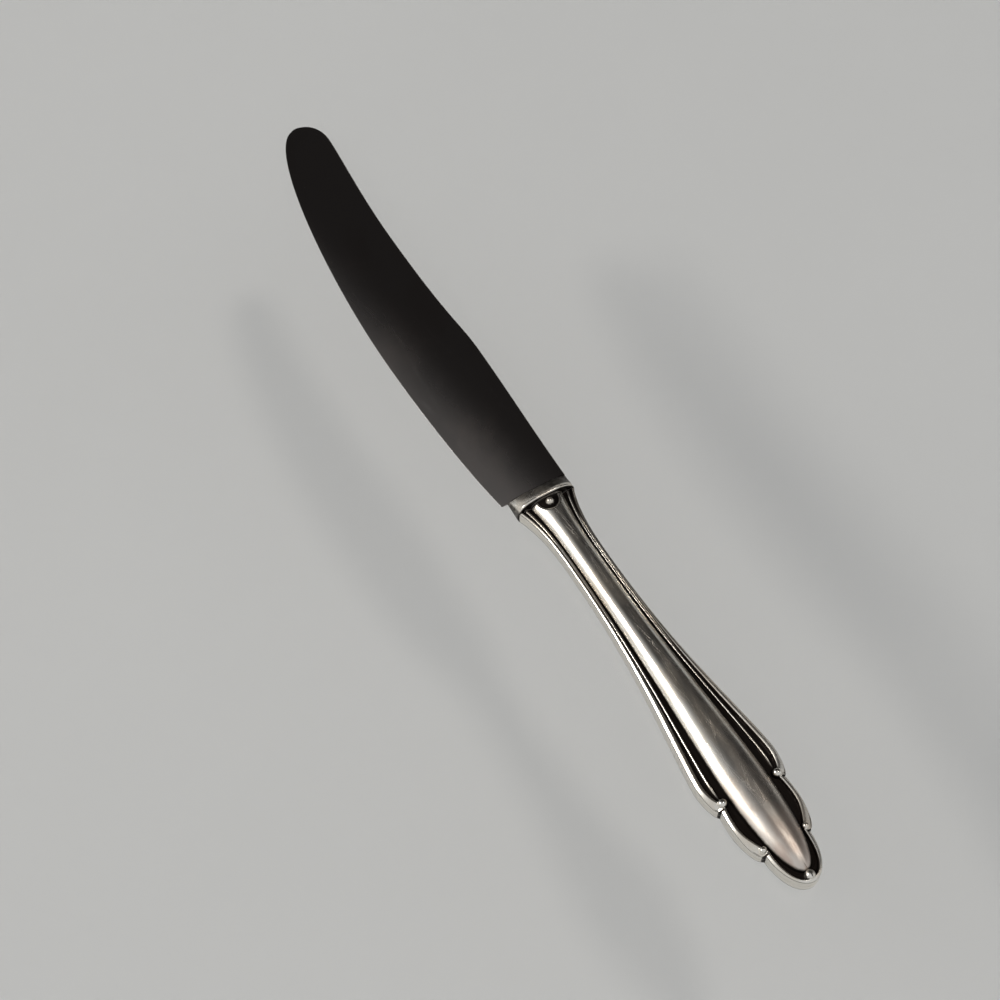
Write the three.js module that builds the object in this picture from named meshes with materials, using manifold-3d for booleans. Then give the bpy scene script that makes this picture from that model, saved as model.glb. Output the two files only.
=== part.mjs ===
// A table knife with a hollow silver handle, lying on its back. Two stamped half shells are soldered edge to
// edge, a cap closes their mouth, and the tang of the steel blade is set in the cement that fills them.
// Millimetres. x runs from the butt of the handle to the tip of the blade, +y points to the cutting edge and
// z = 0 is the middle plane of the blade, until the last lines lay the knife on the table plane.
import * as THREE from "three";
import { mergeVertices } from "three/addons/utils/BufferGeometryUtils.js";
import Module from "manifold-3d";

const wasm = await Module();
wasm.setup();

const { clamp, lerp } = THREE.MathUtils;

// Lengths along the knife
const SHELL_LENGTH = 110.2; // from the butt to the mouth of the shells
const CAP_LENGTH = 4.7;
const BLADE_LENGTH = 131; // from the heel to the tip
const TANG_LENGTH = 55; // from the heel into the handle

// Sheet, solder and clearances
const WALL = 0.6; // silver sheet of the shells
const SOLDER = 0.1;
const CEMENT_GAP = 0.3; // around the cement, inside the shells and around the tang
const SLOT_GAP = 0.3; // around the tang in the cap
const TANG_ROOT = 1; // how far the tang runs into the heel that it is forged to

// Outline of the handle: a butt lobe, a middle lobe and a long lobe that narrows to a neck
const BUTT_LOBE_LENGTH = 10;
const BUTT_HALF_WIDTH = 5.75;
const MIDDLE_LOBE_LENGTH = 13.3;
const MIDDLE_LOBE_RISE = 8.6; // from the notch behind it to its widest point
const MIDDLE_HALF_WIDTH = 8.65;
const NOTCH_DROP = 0.25; // from that widest point to the next notch
const BELLY_RISE = 7; // from the notch to the widest point of the long lobe
const BELLY_HALF_WIDTH = 10.25;
const NECK_FROM_MOUTH = 20.2;
const NECK_HALF_WIDTH = 4.95;
const MOUTH_HALF_WIDTH = 7.5;
const TAPER_SKEW = 0.65; // under 1, most of the taper lies near the belly
const FLARE_POWER = 3; // the flare to the mouth stays slim, then opens quickly

// Raised panel along the middle of each shell
const PANEL_START = 3.2; // from the butt to the panel's rounded point
const PANEL_WIDEST = 27; // from the butt
const PANEL_BELLY_HALF_WIDTH = 5.4;
const PANEL_NECK_HALF_WIDTH = 3;
const PANEL_MOUTH_HALF_WIDTH = 4.5;
const PANEL_POINT_POWER = 2.3; // roundness of the panel's point in plan
const PANEL_SKEW = 0.77;
const PANEL_ARCH_POWER = 0.75; // 0.5 is an ellipse, 1 a parabola
const CROWN_BELLY = 4.8; // heights above the middle plane
const CROWN_NECK = 3.7;
const CROWN_MOUTH = 4;
const LAND_START = 26; // the flat along the crown that the knife lies on
const LAND_END = 38;
const LAND_HALF_WIDTH = 1.5;
const LAND_SHARE = 0.35; // of the panel, where the panel is too narrow for the whole land

// Beaded rim along the outline and the thin reed between it and the panel
const RIM_BUTT = 2.3;
const RIM_BELLY = 2.5;
const RIM_NECK = 2;
const RIM_MOUTH = 2.1;
const RIM_INSET_BELLY = 0.85; // from the outline to the rim's ridge
const RIM_INSET_NECK = 0.45;
const RIM_SHOULDER = 0.6; // from the ridge down to the side wall
const DRAFT = 0.1; // how far the side wall leans in
const GROOVE_DEPTH = 0.55; // below the rim's ridge
const REED_HEIGHT = 0.6; // above the groove
const REED_PLACE = 0.45; // of the way from the panel to the rim
const REED_FADE = 4; // length over which the reed rises behind the notch
const SIDE_LEAN = 0.15; // how far the cavity leans in over the height of its side

// Beads: one at each end of the panel and a knob at each scrolled end of the rim
const BUTT_BEAD_RADIUS = 1.1;
const BUTT_BEAD_PLACE = 1.95; // from the butt
const MOUTH_BEAD_RADIUS = 1;
const MOUTH_BEAD_PLACE = 1.25; // from the mouth
const KNOB_RADIUS = 1.05;
const SMALL_KNOB_RADIUS = 0.75;
const KNOB_INSET = 1.15; // from the outline at the notch
const SMALL_KNOB_INSET = 0.4;
const KNOB_PAST_NOTCH = 1.3;
const SMALL_KNOB_PAST_NOTCH = 1.4;
const BEAD_LIFT = 0.3; // from the groove up to the centre of a bead
const BEAD_SEGMENTS = 10;
const BEAD_RINGS = 6;

// Cap on the mouth: a ridge next to the shells, sloping down to the blade
const CAP_OVERHANG = 0.25; // the cap's back edge outside the shells' mouth
const CAP_RIDGE_PLACE = 0.8; // from the cap's back to its ridge
const CAP_RIDGE_HALF_WIDTH = 7.9;
const CAP_FRONT_HALF_HEIGHT = 1.6;
const CAP_FLAT_HALF_WIDTH = 2; // flat top and bottom
const CAP_SLOPE_POWER = 1.5;
const CAP_CORNER_POWER = 2.2; // 2 is an ellipse, more is squarer
const CAP_SLOPE_STEPS = 4;
const CAP_CORNER_STEPS = 6;

// Blade outline, as distances from the handle's axis
const HEEL_TO_SPINE = 8;
const HEEL_TO_EDGE = 9.6;
const HEEL_EDGE_SLOPE = 0.17;
const HUMP_AT = 43; // from the heel
const HUMP_TO_SPINE = 8.8;
const DIP_FROM_TIP = 46;
const DIP_TO_SPINE = 7.1;
const PEAK_FROM_TIP = 7.6;
const PEAK_TO_SPINE = 9.05;
const TIP_TO_SPINE = 2.4;
const BELLY_AT = 53.5; // from the heel
const BELLY_TO_EDGE = 13.15;
const OUTLINE_STEPS = 10; // for each curve of the outline

// How far each smooth corner of that outline pulls the curves before and after it
const HEEL_SPINE_REACH = 14.5;
const HUMP_REACH = [14, 9];
const DIP_REACH = [30, 17];
const PEAK_REACH = [6.5, 3.2];
const TIP_REACH = [5, 9.2];
const BELLY_REACH = [30, 18];
const HEEL_EDGE_REACH = 13;

// Blade and tang thickness
const HEEL_THICKNESS = 2.4; // at the spine
const PEAK_THICKNESS = 1.4; // at the spine
const EDGE_THICKNESS = 0.5; // at the belly
const TANG_THICKNESS = 1.6;
const TANG_ROOT_WIDTH = 5;
const TANG_END_WIDTH = 3;
const TANG_NOTCHES = 3; // on each side, for the cement to grip
const TANG_NOTCH_DEPTH = 0.5;
const TANG_NOTCH_WIDTH = 2;

// Places that follow from the sizes above
const NOTCH_2 = BUTT_LOBE_LENGTH;
const MIDDLE_PEAK = NOTCH_2 + MIDDLE_LOBE_RISE;
const NOTCH_1 = NOTCH_2 + MIDDLE_LOBE_LENGTH;
const BELLY = NOTCH_1 + BELLY_RISE;
const NECK = SHELL_LENGTH - NECK_FROM_MOUTH;
const HEEL = SHELL_LENGTH + SOLDER + CAP_LENGTH;

// Numbers of sections along each stretch of the handle, outside and inside the sheet
const OUTSIDE_STEPS = { butt: 7, lobe: 6, notch: 2, taper: 10, flare: 6 };
const INSIDE_STEPS = { butt: 4, lobe: 3, notch: 1, taper: 7, flare: 4 };

// Points across the panel from its foot to its land, as shares of that way, outside and inside the sheet
const OUTSIDE_SHARES = [1, 0.85, 0.6, 0.3];
const INSIDE_SHARES = [1, 0.75, 0.4];

const SILVER = { color: 0xb4ab9c, metalness: 1, roughness: 0.25 };
const STEEL = { color: 0x6f6a66, metalness: 1, roughness: 0.2 };
const HARD_SOLDER = { color: 0x9a948a, metalness: 1, roughness: 0.4 };
const CEMENT = { color: 0x6b5a48, metalness: 0, roughness: 0.95 };

/** Share of the way from one place to another, kept between 0 and 1. */
function share(x, from, to) {
  return clamp((x - from) / (to - from), 0, 1);
}

/** 0 to 1, level at both ends. */
function ease(t) {
  return (1 - Math.cos(Math.PI * t)) / 2;
}

/** 0 to 1 along a quarter of an ellipse: upright at 0, level at 1. */
function bulge(t) {
  return Math.sqrt(1 - (1 - t) ** 2);
}

/** A height along the handle, from its values at the butt, belly, neck and mouth. */
function along(x, butt, belly, neck, mouth) {
  if (x < BELLY) return lerp(butt, belly, ease(share(x, 0, BELLY)));
  if (x < NECK) return lerp(belly, neck, ease(share(x, BELLY, NECK)));
  return lerp(neck, mouth, ease(share(x, NECK, SHELL_LENGTH)));
}

/** Half width of the handle's outline: three lobes, each starting with a quarter ellipse, then the flare. */
function outlineHalfWidth(x) {
  const notch = MIDDLE_HALF_WIDTH - NOTCH_DROP;
  if (x < NOTCH_2) return BUTT_HALF_WIDTH * bulge(share(x, 0, NOTCH_2));
  if (x < MIDDLE_PEAK) {
    return lerp(BUTT_HALF_WIDTH, MIDDLE_HALF_WIDTH, bulge(share(x, NOTCH_2, MIDDLE_PEAK)));
  }
  if (x < NOTCH_1) return lerp(MIDDLE_HALF_WIDTH, notch, share(x, MIDDLE_PEAK, NOTCH_1) ** 2);
  if (x < BELLY) return lerp(notch, BELLY_HALF_WIDTH, bulge(share(x, NOTCH_1, BELLY)));
  if (x < NECK) {
    return lerp(BELLY_HALF_WIDTH, NECK_HALF_WIDTH, ease(share(x, BELLY, NECK) ** TAPER_SKEW));
  }
  return lerp(NECK_HALF_WIDTH, MOUTH_HALF_WIDTH, share(x, NECK, SHELL_LENGTH) ** FLARE_POWER);
}

/** Half width of the panel: a rounded point, a taper to the neck and a flare to the mouth. */
function panelHalfWidth(x) {
  if (x < PANEL_WIDEST) {
    const left = 1 - share(x, PANEL_START, PANEL_WIDEST);
    return PANEL_BELLY_HALF_WIDTH * (1 - left ** PANEL_POINT_POWER) ** (1 / PANEL_POINT_POWER);
  }
  if (x < NECK) {
    const t = share(x, PANEL_WIDEST, NECK) ** PANEL_SKEW;
    return lerp(PANEL_BELLY_HALF_WIDTH, PANEL_NECK_HALF_WIDTH, ease(t));
  }
  return lerp(PANEL_NECK_HALF_WIDTH, PANEL_MOUTH_HALF_WIDTH, share(x, NECK, SHELL_LENGTH) ** FLARE_POWER);
}

/** Height of the groove floor between the rim and the panel. */
function grooveHeight(x) {
  return along(x, RIM_BUTT, RIM_BELLY, RIM_NECK, RIM_MOUTH) - GROOVE_DEPTH;
}

/** Height of the panel's crown: it rises out of the groove at the butt and is level along the land. */
function crownHeight(x) {
  if (x < LAND_START) return lerp(grooveHeight(x), CROWN_BELLY, bulge(share(x, PANEL_START, LAND_START)));
  if (x < NECK) return lerp(CROWN_BELLY, CROWN_NECK, ease(share(x, LAND_END, NECK)));
  return lerp(CROWN_NECK, CROWN_MOUTH, ease(share(x, NECK, SHELL_LENGTH)));
}

/** The handle at a distance x from the butt, with the ray that runs from its outline to its middle line. */
function sectionAt(x) {
  const half = outlineHalfWidth(x);
  // Rays of the butt lobe fan out from the stretch of the middle line in front of the panel's point.
  const centre = x < NOTCH_2 ? lerp(PANEL_START, NOTCH_2, x / NOTCH_2) : x;
  return {
    x,
    half,
    centre,
    ray: Math.hypot(centre - x, half),
    panel: panelHalfWidth(centre),
    crown: crownHeight(centre),
    groove: grooveHeight(x),
    rim: grooveHeight(x) + GROOVE_DEPTH,
    rimInset: along(x, RIM_INSET_BELLY, RIM_INSET_BELLY, RIM_INSET_NECK, RIM_INSET_NECK),
    reed: REED_HEIGHT * ease(share(x, NOTCH_1, NOTCH_1 + REED_FADE)),
  };
}

/** Places from a to b, closer together near a, as suits a quarter ellipse that is upright there. */
function closingSteps(a, b, count) {
  return Array.from({ length: count }, (_, i) => lerp(b, a, Math.cos((Math.PI / 2) * (i / count))));
}

/** Places from a to b in even steps. */
function evenSteps(a, b, count) {
  return Array.from({ length: count }, (_, i) => lerp(a, b, i / count));
}

/** Sections from the mouth plane back to the butt. */
function sectionsFrom(mouth, steps) {
  const places = [
    ...closingSteps(0, NOTCH_2, steps.butt),
    ...closingSteps(NOTCH_2, MIDDLE_PEAK, steps.lobe),
    ...evenSteps(MIDDLE_PEAK, NOTCH_1, steps.notch),
    ...closingSteps(NOTCH_1, BELLY, steps.lobe),
    ...evenSteps(BELLY, NECK, steps.taper),
    ...evenSteps(NECK, mouth, steps.flare),
    mouth,
  ];
  return places.reverse().map(sectionAt);
}

/** Height of the arched panel at a distance y from the middle line, for a given width, foot and crown. */
function archHeight(y, half, land, foot, crown) {
  const t = clamp((y - land) / (half - land), 0, 1);
  return lerp(foot, crown, (1 - t ** 2) ** PANEL_ARCH_POWER);
}

/** Points of the panel from its foot to the edge of its land, as distances along the ray and heights. */
function panelPoints(section, half, foot, crown, shares) {
  if (half <= 0) return [...shares, 0].map(() => [section.ray, foot]);
  const land = Math.min(LAND_HALF_WIDTH, LAND_SHARE * half);
  const places = [...shares.map((part) => lerp(land, half, part)), land];
  return places.map((y) => [section.ray - y, archHeight(y, half, land, foot, crown)]);
}

/** Outside of a shell, from the seam over the rim and the reed to the panel. */
function facePoints(section) {
  const { ray, panel, groove, rim, rimInset, reed, crown } = section;
  const reedInset = ray - lerp(panel, ray - rimInset, REED_PLACE);
  return [
    [0, SOLDER / 2],
    [DRAFT, rim - RIM_SHOULDER],
    [rimInset, rim],
    [(rimInset + reedInset) / 2, groove],
    [reedInset, groove + reed],
    ...panelPoints(section, panel, groove, crown, OUTSIDE_SHARES),
  ];
}

/** Smooth inside of a shell, or of the cement in it, that lies a given depth below the outside. */
function innerPoints(section, depth, base) {
  const half = Math.max(0, section.panel - depth);
  const foot = section.groove - depth;
  const crown = Math.max(foot, section.crown - depth);
  return [
    [depth, base],
    [depth + SIDE_LEAN, foot],
    ...panelPoints(section, half, foot, crown, INSIDE_SHARES),
  ];
}

/** Point on a section's ray: side is 1 towards the cutting edge and -1 towards the spine. */
function onRay(section, side, distance, height) {
  const t = distance / section.ray;
  return new THREE.Vector3(
    lerp(section.x, section.centre, t),
    side * lerp(section.half, 0, t),
    height,
  );
}

/** Columns of points along the rays, from the mouth on the edge side round the butt to the mouth again. */
function columnsOf(sections, pointsOf, overrun = 0) {
  const path = [...sections, ...sections.slice(0, -1).reverse()];
  const columns = path.map((section, k) => {
    const side = k < sections.length ? 1 : -1;
    return pointsOf(section).map(([distance, height]) => onRay(section, side, distance, height));
  });
  for (const end of [columns[0], columns[columns.length - 1]]) {
    for (const point of end) point.x += overrun;
  }
  return columns;
}

/** Corners of the two triangles of a four-sided patch. */
function patch(a, b, c, d) {
  return [a, b, c, a, c, d];
}

/** Triangles of the flat end at the mouth, between the first column and the last. */
function endOf(columns) {
  const corners = [...columns[0], ...columns[columns.length - 1].toReversed()];
  const outline = corners.map((point) => new THREE.Vector2(point.y, point.z));
  return THREE.ShapeUtils.triangulateShape(outline, []).flat().map((corner) => corners[corner]);
}

/** Triangles of the face that the columns span, with its land and its end at the mouth. */
function faceOf(columns) {
  const last = columns.length - 1;
  const top = columns[0].length - 1;
  const triangles = [];
  for (let k = 0; k < last; k += 1) {
    for (let r = 0; r < top; r += 1) {
      triangles.push(...patch(columns[k][r], columns[k + 1][r], columns[k + 1][r + 1], columns[k][r + 1]));
    }
  }
  for (let k = 0; k < last / 2; k += 1) {
    const [one, other] = [columns[last - 1 - k][top], columns[last - k][top]];
    triangles.push(...patch(columns[k][top], columns[k + 1][top], one, other));
  }
  return [...triangles, ...endOf(columns)];
}

/** Triangles of the flat base under the columns. */
function baseOf(columns) {
  const last = columns.length - 1;
  const triangles = [];
  for (let k = 0; k < last / 2; k += 1) {
    const [one, other] = [columns[last - k][0], columns[last - 1 - k][0]];
    triangles.push(...patch(columns[k][0], one, other, columns[k + 1][0]));
  }
  return triangles;
}

/** The same triangles on the other side of the middle plane. */
function mirrored(triangles) {
  return triangles.map((point) => new THREE.Vector3(point.x, point.y, -point.z)).reverse();
}

/** Solid between closed triangles. */
function solidBetween(triangles) {
  return solidOf(new THREE.BufferGeometry().setFromPoints(triangles));
}

/** Solid of a closed geometry, with its shared corners merged and its empty triangles dropped. */
function solidOf(geometry) {
  const bare = geometry.clone();
  bare.deleteAttribute("normal");
  bare.deleteAttribute("uv");
  const merged = mergeVertices(bare);
  const triVerts = [];
  for (let i = 0; i < merged.index.count; i += 3) {
    const [a, b, c] = [0, 1, 2].map((corner) => merged.index.getX(i + corner));
    if (a !== b && b !== c && c !== a) triVerts.push(a, b, c);
  }
  const mesh = new wasm.Mesh({
    numProp: 3,
    vertProperties: Float32Array.from(merged.attributes.position.array),
    triVerts: Uint32Array.from(triVerts),
  });
  mesh.merge();
  return new wasm.Manifold(mesh);
}

/** Geometry of a solid. */
function geometryOf(solid) {
  const mesh = solid.getMesh();
  const geometry = new THREE.BufferGeometry();
  geometry.setAttribute("position", new THREE.BufferAttribute(mesh.vertProperties, mesh.numProp));
  geometry.setIndex(new THREE.BufferAttribute(mesh.triVerts, 1));
  return geometry;
}

/** A bead of a given radius with its centre at a given place. */
function bead(radius, x, y, z) {
  const ball = new THREE.SphereGeometry(radius, BEAD_SEGMENTS, BEAD_RINGS);
  ball.rotateX(Math.PI / 2);
  ball.translate(x, y, z);
  return solidOf(ball);
}

/** Beads and knobs of one shell, standing on its groove and, at the mouth, on its panel. */
function beads() {
  const mouthBead = SHELL_LENGTH - MOUTH_BEAD_PLACE;
  const knobX = NOTCH_1 + KNOB_PAST_NOTCH;
  const smallKnobX = NOTCH_2 + SMALL_KNOB_PAST_NOTCH;
  const knobY = outlineHalfWidth(NOTCH_1) - KNOB_INSET;
  const smallKnobY = outlineHalfWidth(NOTCH_2) - SMALL_KNOB_INSET;
  return [
    bead(BUTT_BEAD_RADIUS, BUTT_BEAD_PLACE, 0, grooveHeight(BUTT_BEAD_PLACE) + BEAD_LIFT),
    bead(MOUTH_BEAD_RADIUS, mouthBead, 0, crownHeight(mouthBead) - BEAD_LIFT),
    ...[1, -1].flatMap((side) => [
      bead(KNOB_RADIUS, knobX, side * knobY, grooveHeight(knobX) + BEAD_LIFT),
      bead(SMALL_KNOB_RADIUS, smallKnobX, side * smallKnobY, grooveHeight(smallKnobX) + BEAD_LIFT),
    ]),
  ];
}

/** One stamped half shell: the ornamented outside with its beads, hollowed to the sheet's thickness. */
function shellGeometry() {
  const outside = columnsOf(sectionsFrom(SHELL_LENGTH, OUTSIDE_STEPS), facePoints);
  const inside = columnsOf(
    sectionsFrom(SHELL_LENGTH, INSIDE_STEPS),
    (section) => innerPoints(section, WALL, -WALL),
    WALL,
  );
  const stamped = beads().reduce(
    (body, knob) => body.add(knob),
    solidBetween([...faceOf(outside), ...baseOf(outside)]),
  );
  return geometryOf(stamped.subtract(solidBetween([...faceOf(inside), ...baseOf(inside)])));
}

/** Strip of solder between the shells' edges, all round the handle but for the mouth. */
function seamSolderGeometry() {
  const sections = sectionsFrom(SHELL_LENGTH, OUTSIDE_STEPS);
  const edge = (distance) => {
    const one = sections.map((section) => onRay(section, 1, distance, 0));
    const other = sections.slice(0, -1).reverse().map((section) => onRay(section, -1, distance, 0));
    return [...one, ...other];
  };
  const strip = new THREE.Shape([...edge(0), ...edge(WALL).reverse()]);
  return new THREE.ExtrudeGeometry(strip, { depth: SOLDER, bevelEnabled: false })
    .translate(0, 0, -SOLDER / 2);
}

/** Ring of solder between the shells' mouth and the cap, lying in the plane of the mouth. */
function capSolderGeometry() {
  const mouth = sectionAt(SHELL_LENGTH);
  const loop = (points) => {
    const quarter = points.map(([distance, height]) => new THREE.Vector2(mouth.ray - distance, height));
    const corner = (y, z) => quarter.map((point) => new THREE.Vector2(y * point.x, z * point.y));
    return [...corner(1, 1), ...corner(-1, 1).reverse(), ...corner(-1, -1), ...corner(1, -1).reverse()];
  };
  const ring = new THREE.Shape(loop(facePoints(mouth)));
  ring.holes.push(new THREE.Path(loop(innerPoints(mouth, WALL, SOLDER / 2))));
  const geometry = new THREE.ExtrudeGeometry(ring, { depth: SOLDER, bevelEnabled: false });
  // The drawing's axes become the handle's: across, up and, for the thickness, along.
  geometry.applyMatrix4(new THREE.Matrix4().makeBasis(
    new THREE.Vector3(0, 1, 0),
    new THREE.Vector3(0, 0, 1),
    new THREE.Vector3(1, 0, 0),
  ));
  return geometry;
}

/** Outline of the cap at x from its back: flat above and below, with elliptical corners. */
function capSection(x, half, height) {
  const quarter = Array.from({ length: CAP_CORNER_STEPS + 1 }, (_, i) => {
    const angle = (Math.PI / 2) * (i / CAP_CORNER_STEPS);
    const across = Math.cos(angle) ** (2 / CAP_CORNER_POWER);
    const up = Math.sin(angle) ** (2 / CAP_CORNER_POWER);
    return [lerp(CAP_FLAT_HALF_WIDTH, half, across), height * up];
  });
  const corner = (y, z) => quarter.map(([across, up]) => new THREE.Vector3(x, y * across, z * up));
  return [...corner(1, 1), ...corner(-1, 1).reverse(), ...corner(-1, -1), ...corner(1, -1).reverse()];
}

/** Closed body through a row of outlines that have as many points each. */
function loft(outlines) {
  const triangles = [];
  const count = outlines[0].length;
  for (let i = 0; i < outlines.length - 1; i += 1) {
    for (let j = 0; j < count; j += 1) {
      const next = (j + 1) % count;
      const [a, b] = [outlines[i][j], outlines[i][next]];
      const [c, d] = [outlines[i + 1][next], outlines[i + 1][j]];
      triangles.push(...patch(a, b, c, d));
    }
  }
  const first = outlines[0];
  const final = outlines[outlines.length - 1];
  for (let j = 1; j < count - 1; j += 1) {
    triangles.push(first[0], first[j + 1], first[j], final[0], final[j], final[j + 1]);
  }
  return new THREE.BufferGeometry().setFromPoints(triangles);
}

/** Cap with its slot for the tang, from its back face at x = 0 to the face that the heel seats on. */
function capGeometry() {
  const slope = Array.from({ length: CAP_SLOPE_STEPS + 1 }, (_, i) => {
    const t = i / CAP_SLOPE_STEPS;
    return capSection(
      lerp(CAP_RIDGE_PLACE, CAP_LENGTH, t),
      lerp(CAP_RIDGE_HALF_WIDTH, HEEL_TO_SPINE, t),
      lerp(CROWN_BELLY, CAP_FRONT_HALF_HEIGHT, t ** CAP_SLOPE_POWER),
    );
  });
  const back = capSection(0, MOUTH_HALF_WIDTH + CAP_OVERHANG, CROWN_MOUTH + CAP_OVERHANG);
  const cutThrough = 4 * CAP_LENGTH; // longer than the cap at both ends
  const slot = new THREE.BoxGeometry(
    cutThrough,
    TANG_ROOT_WIDTH + 2 * SLOT_GAP,
    TANG_THICKNESS + 2 * SLOT_GAP,
  );
  return geometryOf(solidOf(loft([back, ...slope])).subtract(solidOf(slot)));
}

/** Outline of the blade from its heel at x = 0: along the spine, round the tip and back along the edge. */
function bladeOutline() {
  const dip = BLADE_LENGTH - DIP_FROM_TIP;
  const peak = BLADE_LENGTH - PEAK_FROM_TIP;
  // Smooth corners, each with the way that the outline passes through it and its reach before and after.
  const corners = [
    { at: [0, -HEEL_TO_SPINE], way: [1, 0], reach: [0, HEEL_SPINE_REACH] },
    { at: [HUMP_AT, -HUMP_TO_SPINE], way: [1, 0], reach: HUMP_REACH },
    { at: [dip, -DIP_TO_SPINE], way: [1, 0], reach: DIP_REACH },
    { at: [peak, -PEAK_TO_SPINE], way: [1, 0], reach: PEAK_REACH },
    { at: [BLADE_LENGTH, -TIP_TO_SPINE], way: [0, 1], reach: TIP_REACH },
    { at: [BELLY_AT, BELLY_TO_EDGE], way: [-1, 0], reach: BELLY_REACH },
    { at: [0, HEEL_TO_EDGE], way: [-1, -HEEL_EDGE_SLOPE], reach: [HEEL_EDGE_REACH, 0] },
  ];
  const outline = new THREE.Shape();
  outline.moveTo(...corners[0].at);
  for (let i = 1; i < corners.length; i += 1) {
    const [from, to] = [corners[i - 1], corners[i]];
    const leaving = from.at.map((place, axis) => place + from.reach[1] * from.way[axis]);
    const arriving = to.at.map((place, axis) => place - to.reach[0] * to.way[axis]);
    outline.bezierCurveTo(...leaving, ...arriving, ...to.at);
  }
  outline.closePath();
  return outline;
}

/** Blade ground to two flat sides, which meet the thickness at the heel, at the peak and at the edge. */
function groundBlade() {
  const side = new THREE.Plane().setFromCoplanarPoints(
    new THREE.Vector3(0, -HEEL_TO_SPINE, HEEL_THICKNESS / 2),
    new THREE.Vector3(BLADE_LENGTH - PEAK_FROM_TIP, -PEAK_TO_SPINE, PEAK_THICKNESS / 2),
    new THREE.Vector3(BELLY_AT, BELLY_TO_EDGE, EDGE_THICKNESS / 2),
  );
  const geometry = new THREE.ExtrudeGeometry(bladeOutline(), {
    depth: 1,
    bevelEnabled: false,
    curveSegments: OUTLINE_STEPS,
  });
  const position = geometry.attributes.position;
  for (let i = 0; i < position.count; i += 1) {
    const across = side.normal.x * position.getX(i) + side.normal.y * position.getY(i);
    const half = -(across + side.constant) / side.normal.z;
    position.setZ(i, position.getZ(i) > 0 ? half : -half);
  }
  return geometry;
}

/** Tapered flat bar of the tang, or its pocket, widened all round by a gap and run on at the heel. */
function tangBar(gap, notchDepth, runOn) {
  const half = (x) => lerp(TANG_ROOT_WIDTH, TANG_END_WIDTH, -x / TANG_LENGTH) / 2 + gap;
  const pitch = TANG_LENGTH / (TANG_NOTCHES + 2);
  const side = [[runOn, half(0)]];
  for (let i = 1; i <= TANG_NOTCHES; i += 1) {
    const middle = -(i + 1) * pitch;
    side.push([middle + TANG_NOTCH_WIDTH / 2, half(middle + TANG_NOTCH_WIDTH / 2)]);
    side.push([middle, half(middle) - notchDepth]);
    side.push([middle - TANG_NOTCH_WIDTH / 2, half(middle - TANG_NOTCH_WIDTH / 2)]);
  }
  side.push([-TANG_LENGTH - gap, half(-TANG_LENGTH)]);
  const points = [...side, ...side.map(([x, y]) => [x, -y]).reverse()];
  const outline = new THREE.Shape(points.map(([x, y]) => new THREE.Vector2(x, y)));
  const thickness = TANG_THICKNESS + 2 * gap;
  return new THREE.ExtrudeGeometry(outline, { depth: thickness, bevelEnabled: false })
    .translate(0, 0, -thickness / 2);
}

/** Blade and tang, one forging, with the heel at x = 0. */
function bladeGeometry() {
  return geometryOf(solidOf(groundBlade()).add(solidOf(tangBar(0, TANG_NOTCH_DEPTH, TANG_ROOT))));
}

/** Cement that fills the shells up to the mouth, with the pocket that it sets around the tang. */
function cementGeometry() {
  const depth = WALL + CEMENT_GAP;
  const sections = sectionsFrom(SHELL_LENGTH - CEMENT_GAP, INSIDE_STEPS);
  const face = faceOf(columnsOf(sections, (section) => innerPoints(section, depth, 0)));
  const pocket = tangBar(CEMENT_GAP, 0, CAP_LENGTH).translate(HEEL, 0, 0);
  return geometryOf(solidBetween([...face, ...mirrored(face)]).subtract(solidOf(pocket)));
}

/** Named piece of the knife. */
function piece(name, geometry, finish, x = 0) {
  geometry.computeVertexNormals();
  const mesh = new THREE.Mesh(geometry, new THREE.MeshStandardMaterial(finish));
  mesh.name = name;
  mesh.position.x = x;
  return mesh;
}

const shell = shellGeometry();
const handle = new THREE.Group();
const frontShell = piece("handle_front_shell", shell, SILVER);
const backShell = piece("handle_back_shell", shell, SILVER);
backShell.rotation.x = Math.PI;
handle.add(
  frontShell,
  backShell,
  piece("seam_solder", seamSolderGeometry(), HARD_SOLDER),
  piece("cap_solder", capSolderGeometry(), HARD_SOLDER, SHELL_LENGTH),
  piece("mouth_cap", capGeometry(), SILVER, SHELL_LENGTH + SOLDER),
  piece("cement_core", cementGeometry(), CEMENT),
);

// The knife lies on the land of the back shell and on the cap, with the origin under the middle of the land.
const knife = new THREE.Group();
knife.add(handle, piece("blade", bladeGeometry(), STEEL, HEEL));
knife.position.set(-(LAND_START + LAND_END) / 2, 0, CROWN_BELLY);

const part = new THREE.Group();
part.add(knife);
export default part;
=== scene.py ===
"""Looks of a hollow-handled table knife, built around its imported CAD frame.

Shapes are worked out in the knife's own coordinates, in millimetres: x runs from
the butt of the handle to the tip, y towards the cutting edge and z up from the
middle plane of the blade. Placement turns them into metres in the frame.
"""

import logging
import math
from collections.abc import Callable
from dataclasses import dataclass
from enum import Enum

import bpy
import numpy as np
from mathutils import Matrix, Vector


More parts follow.
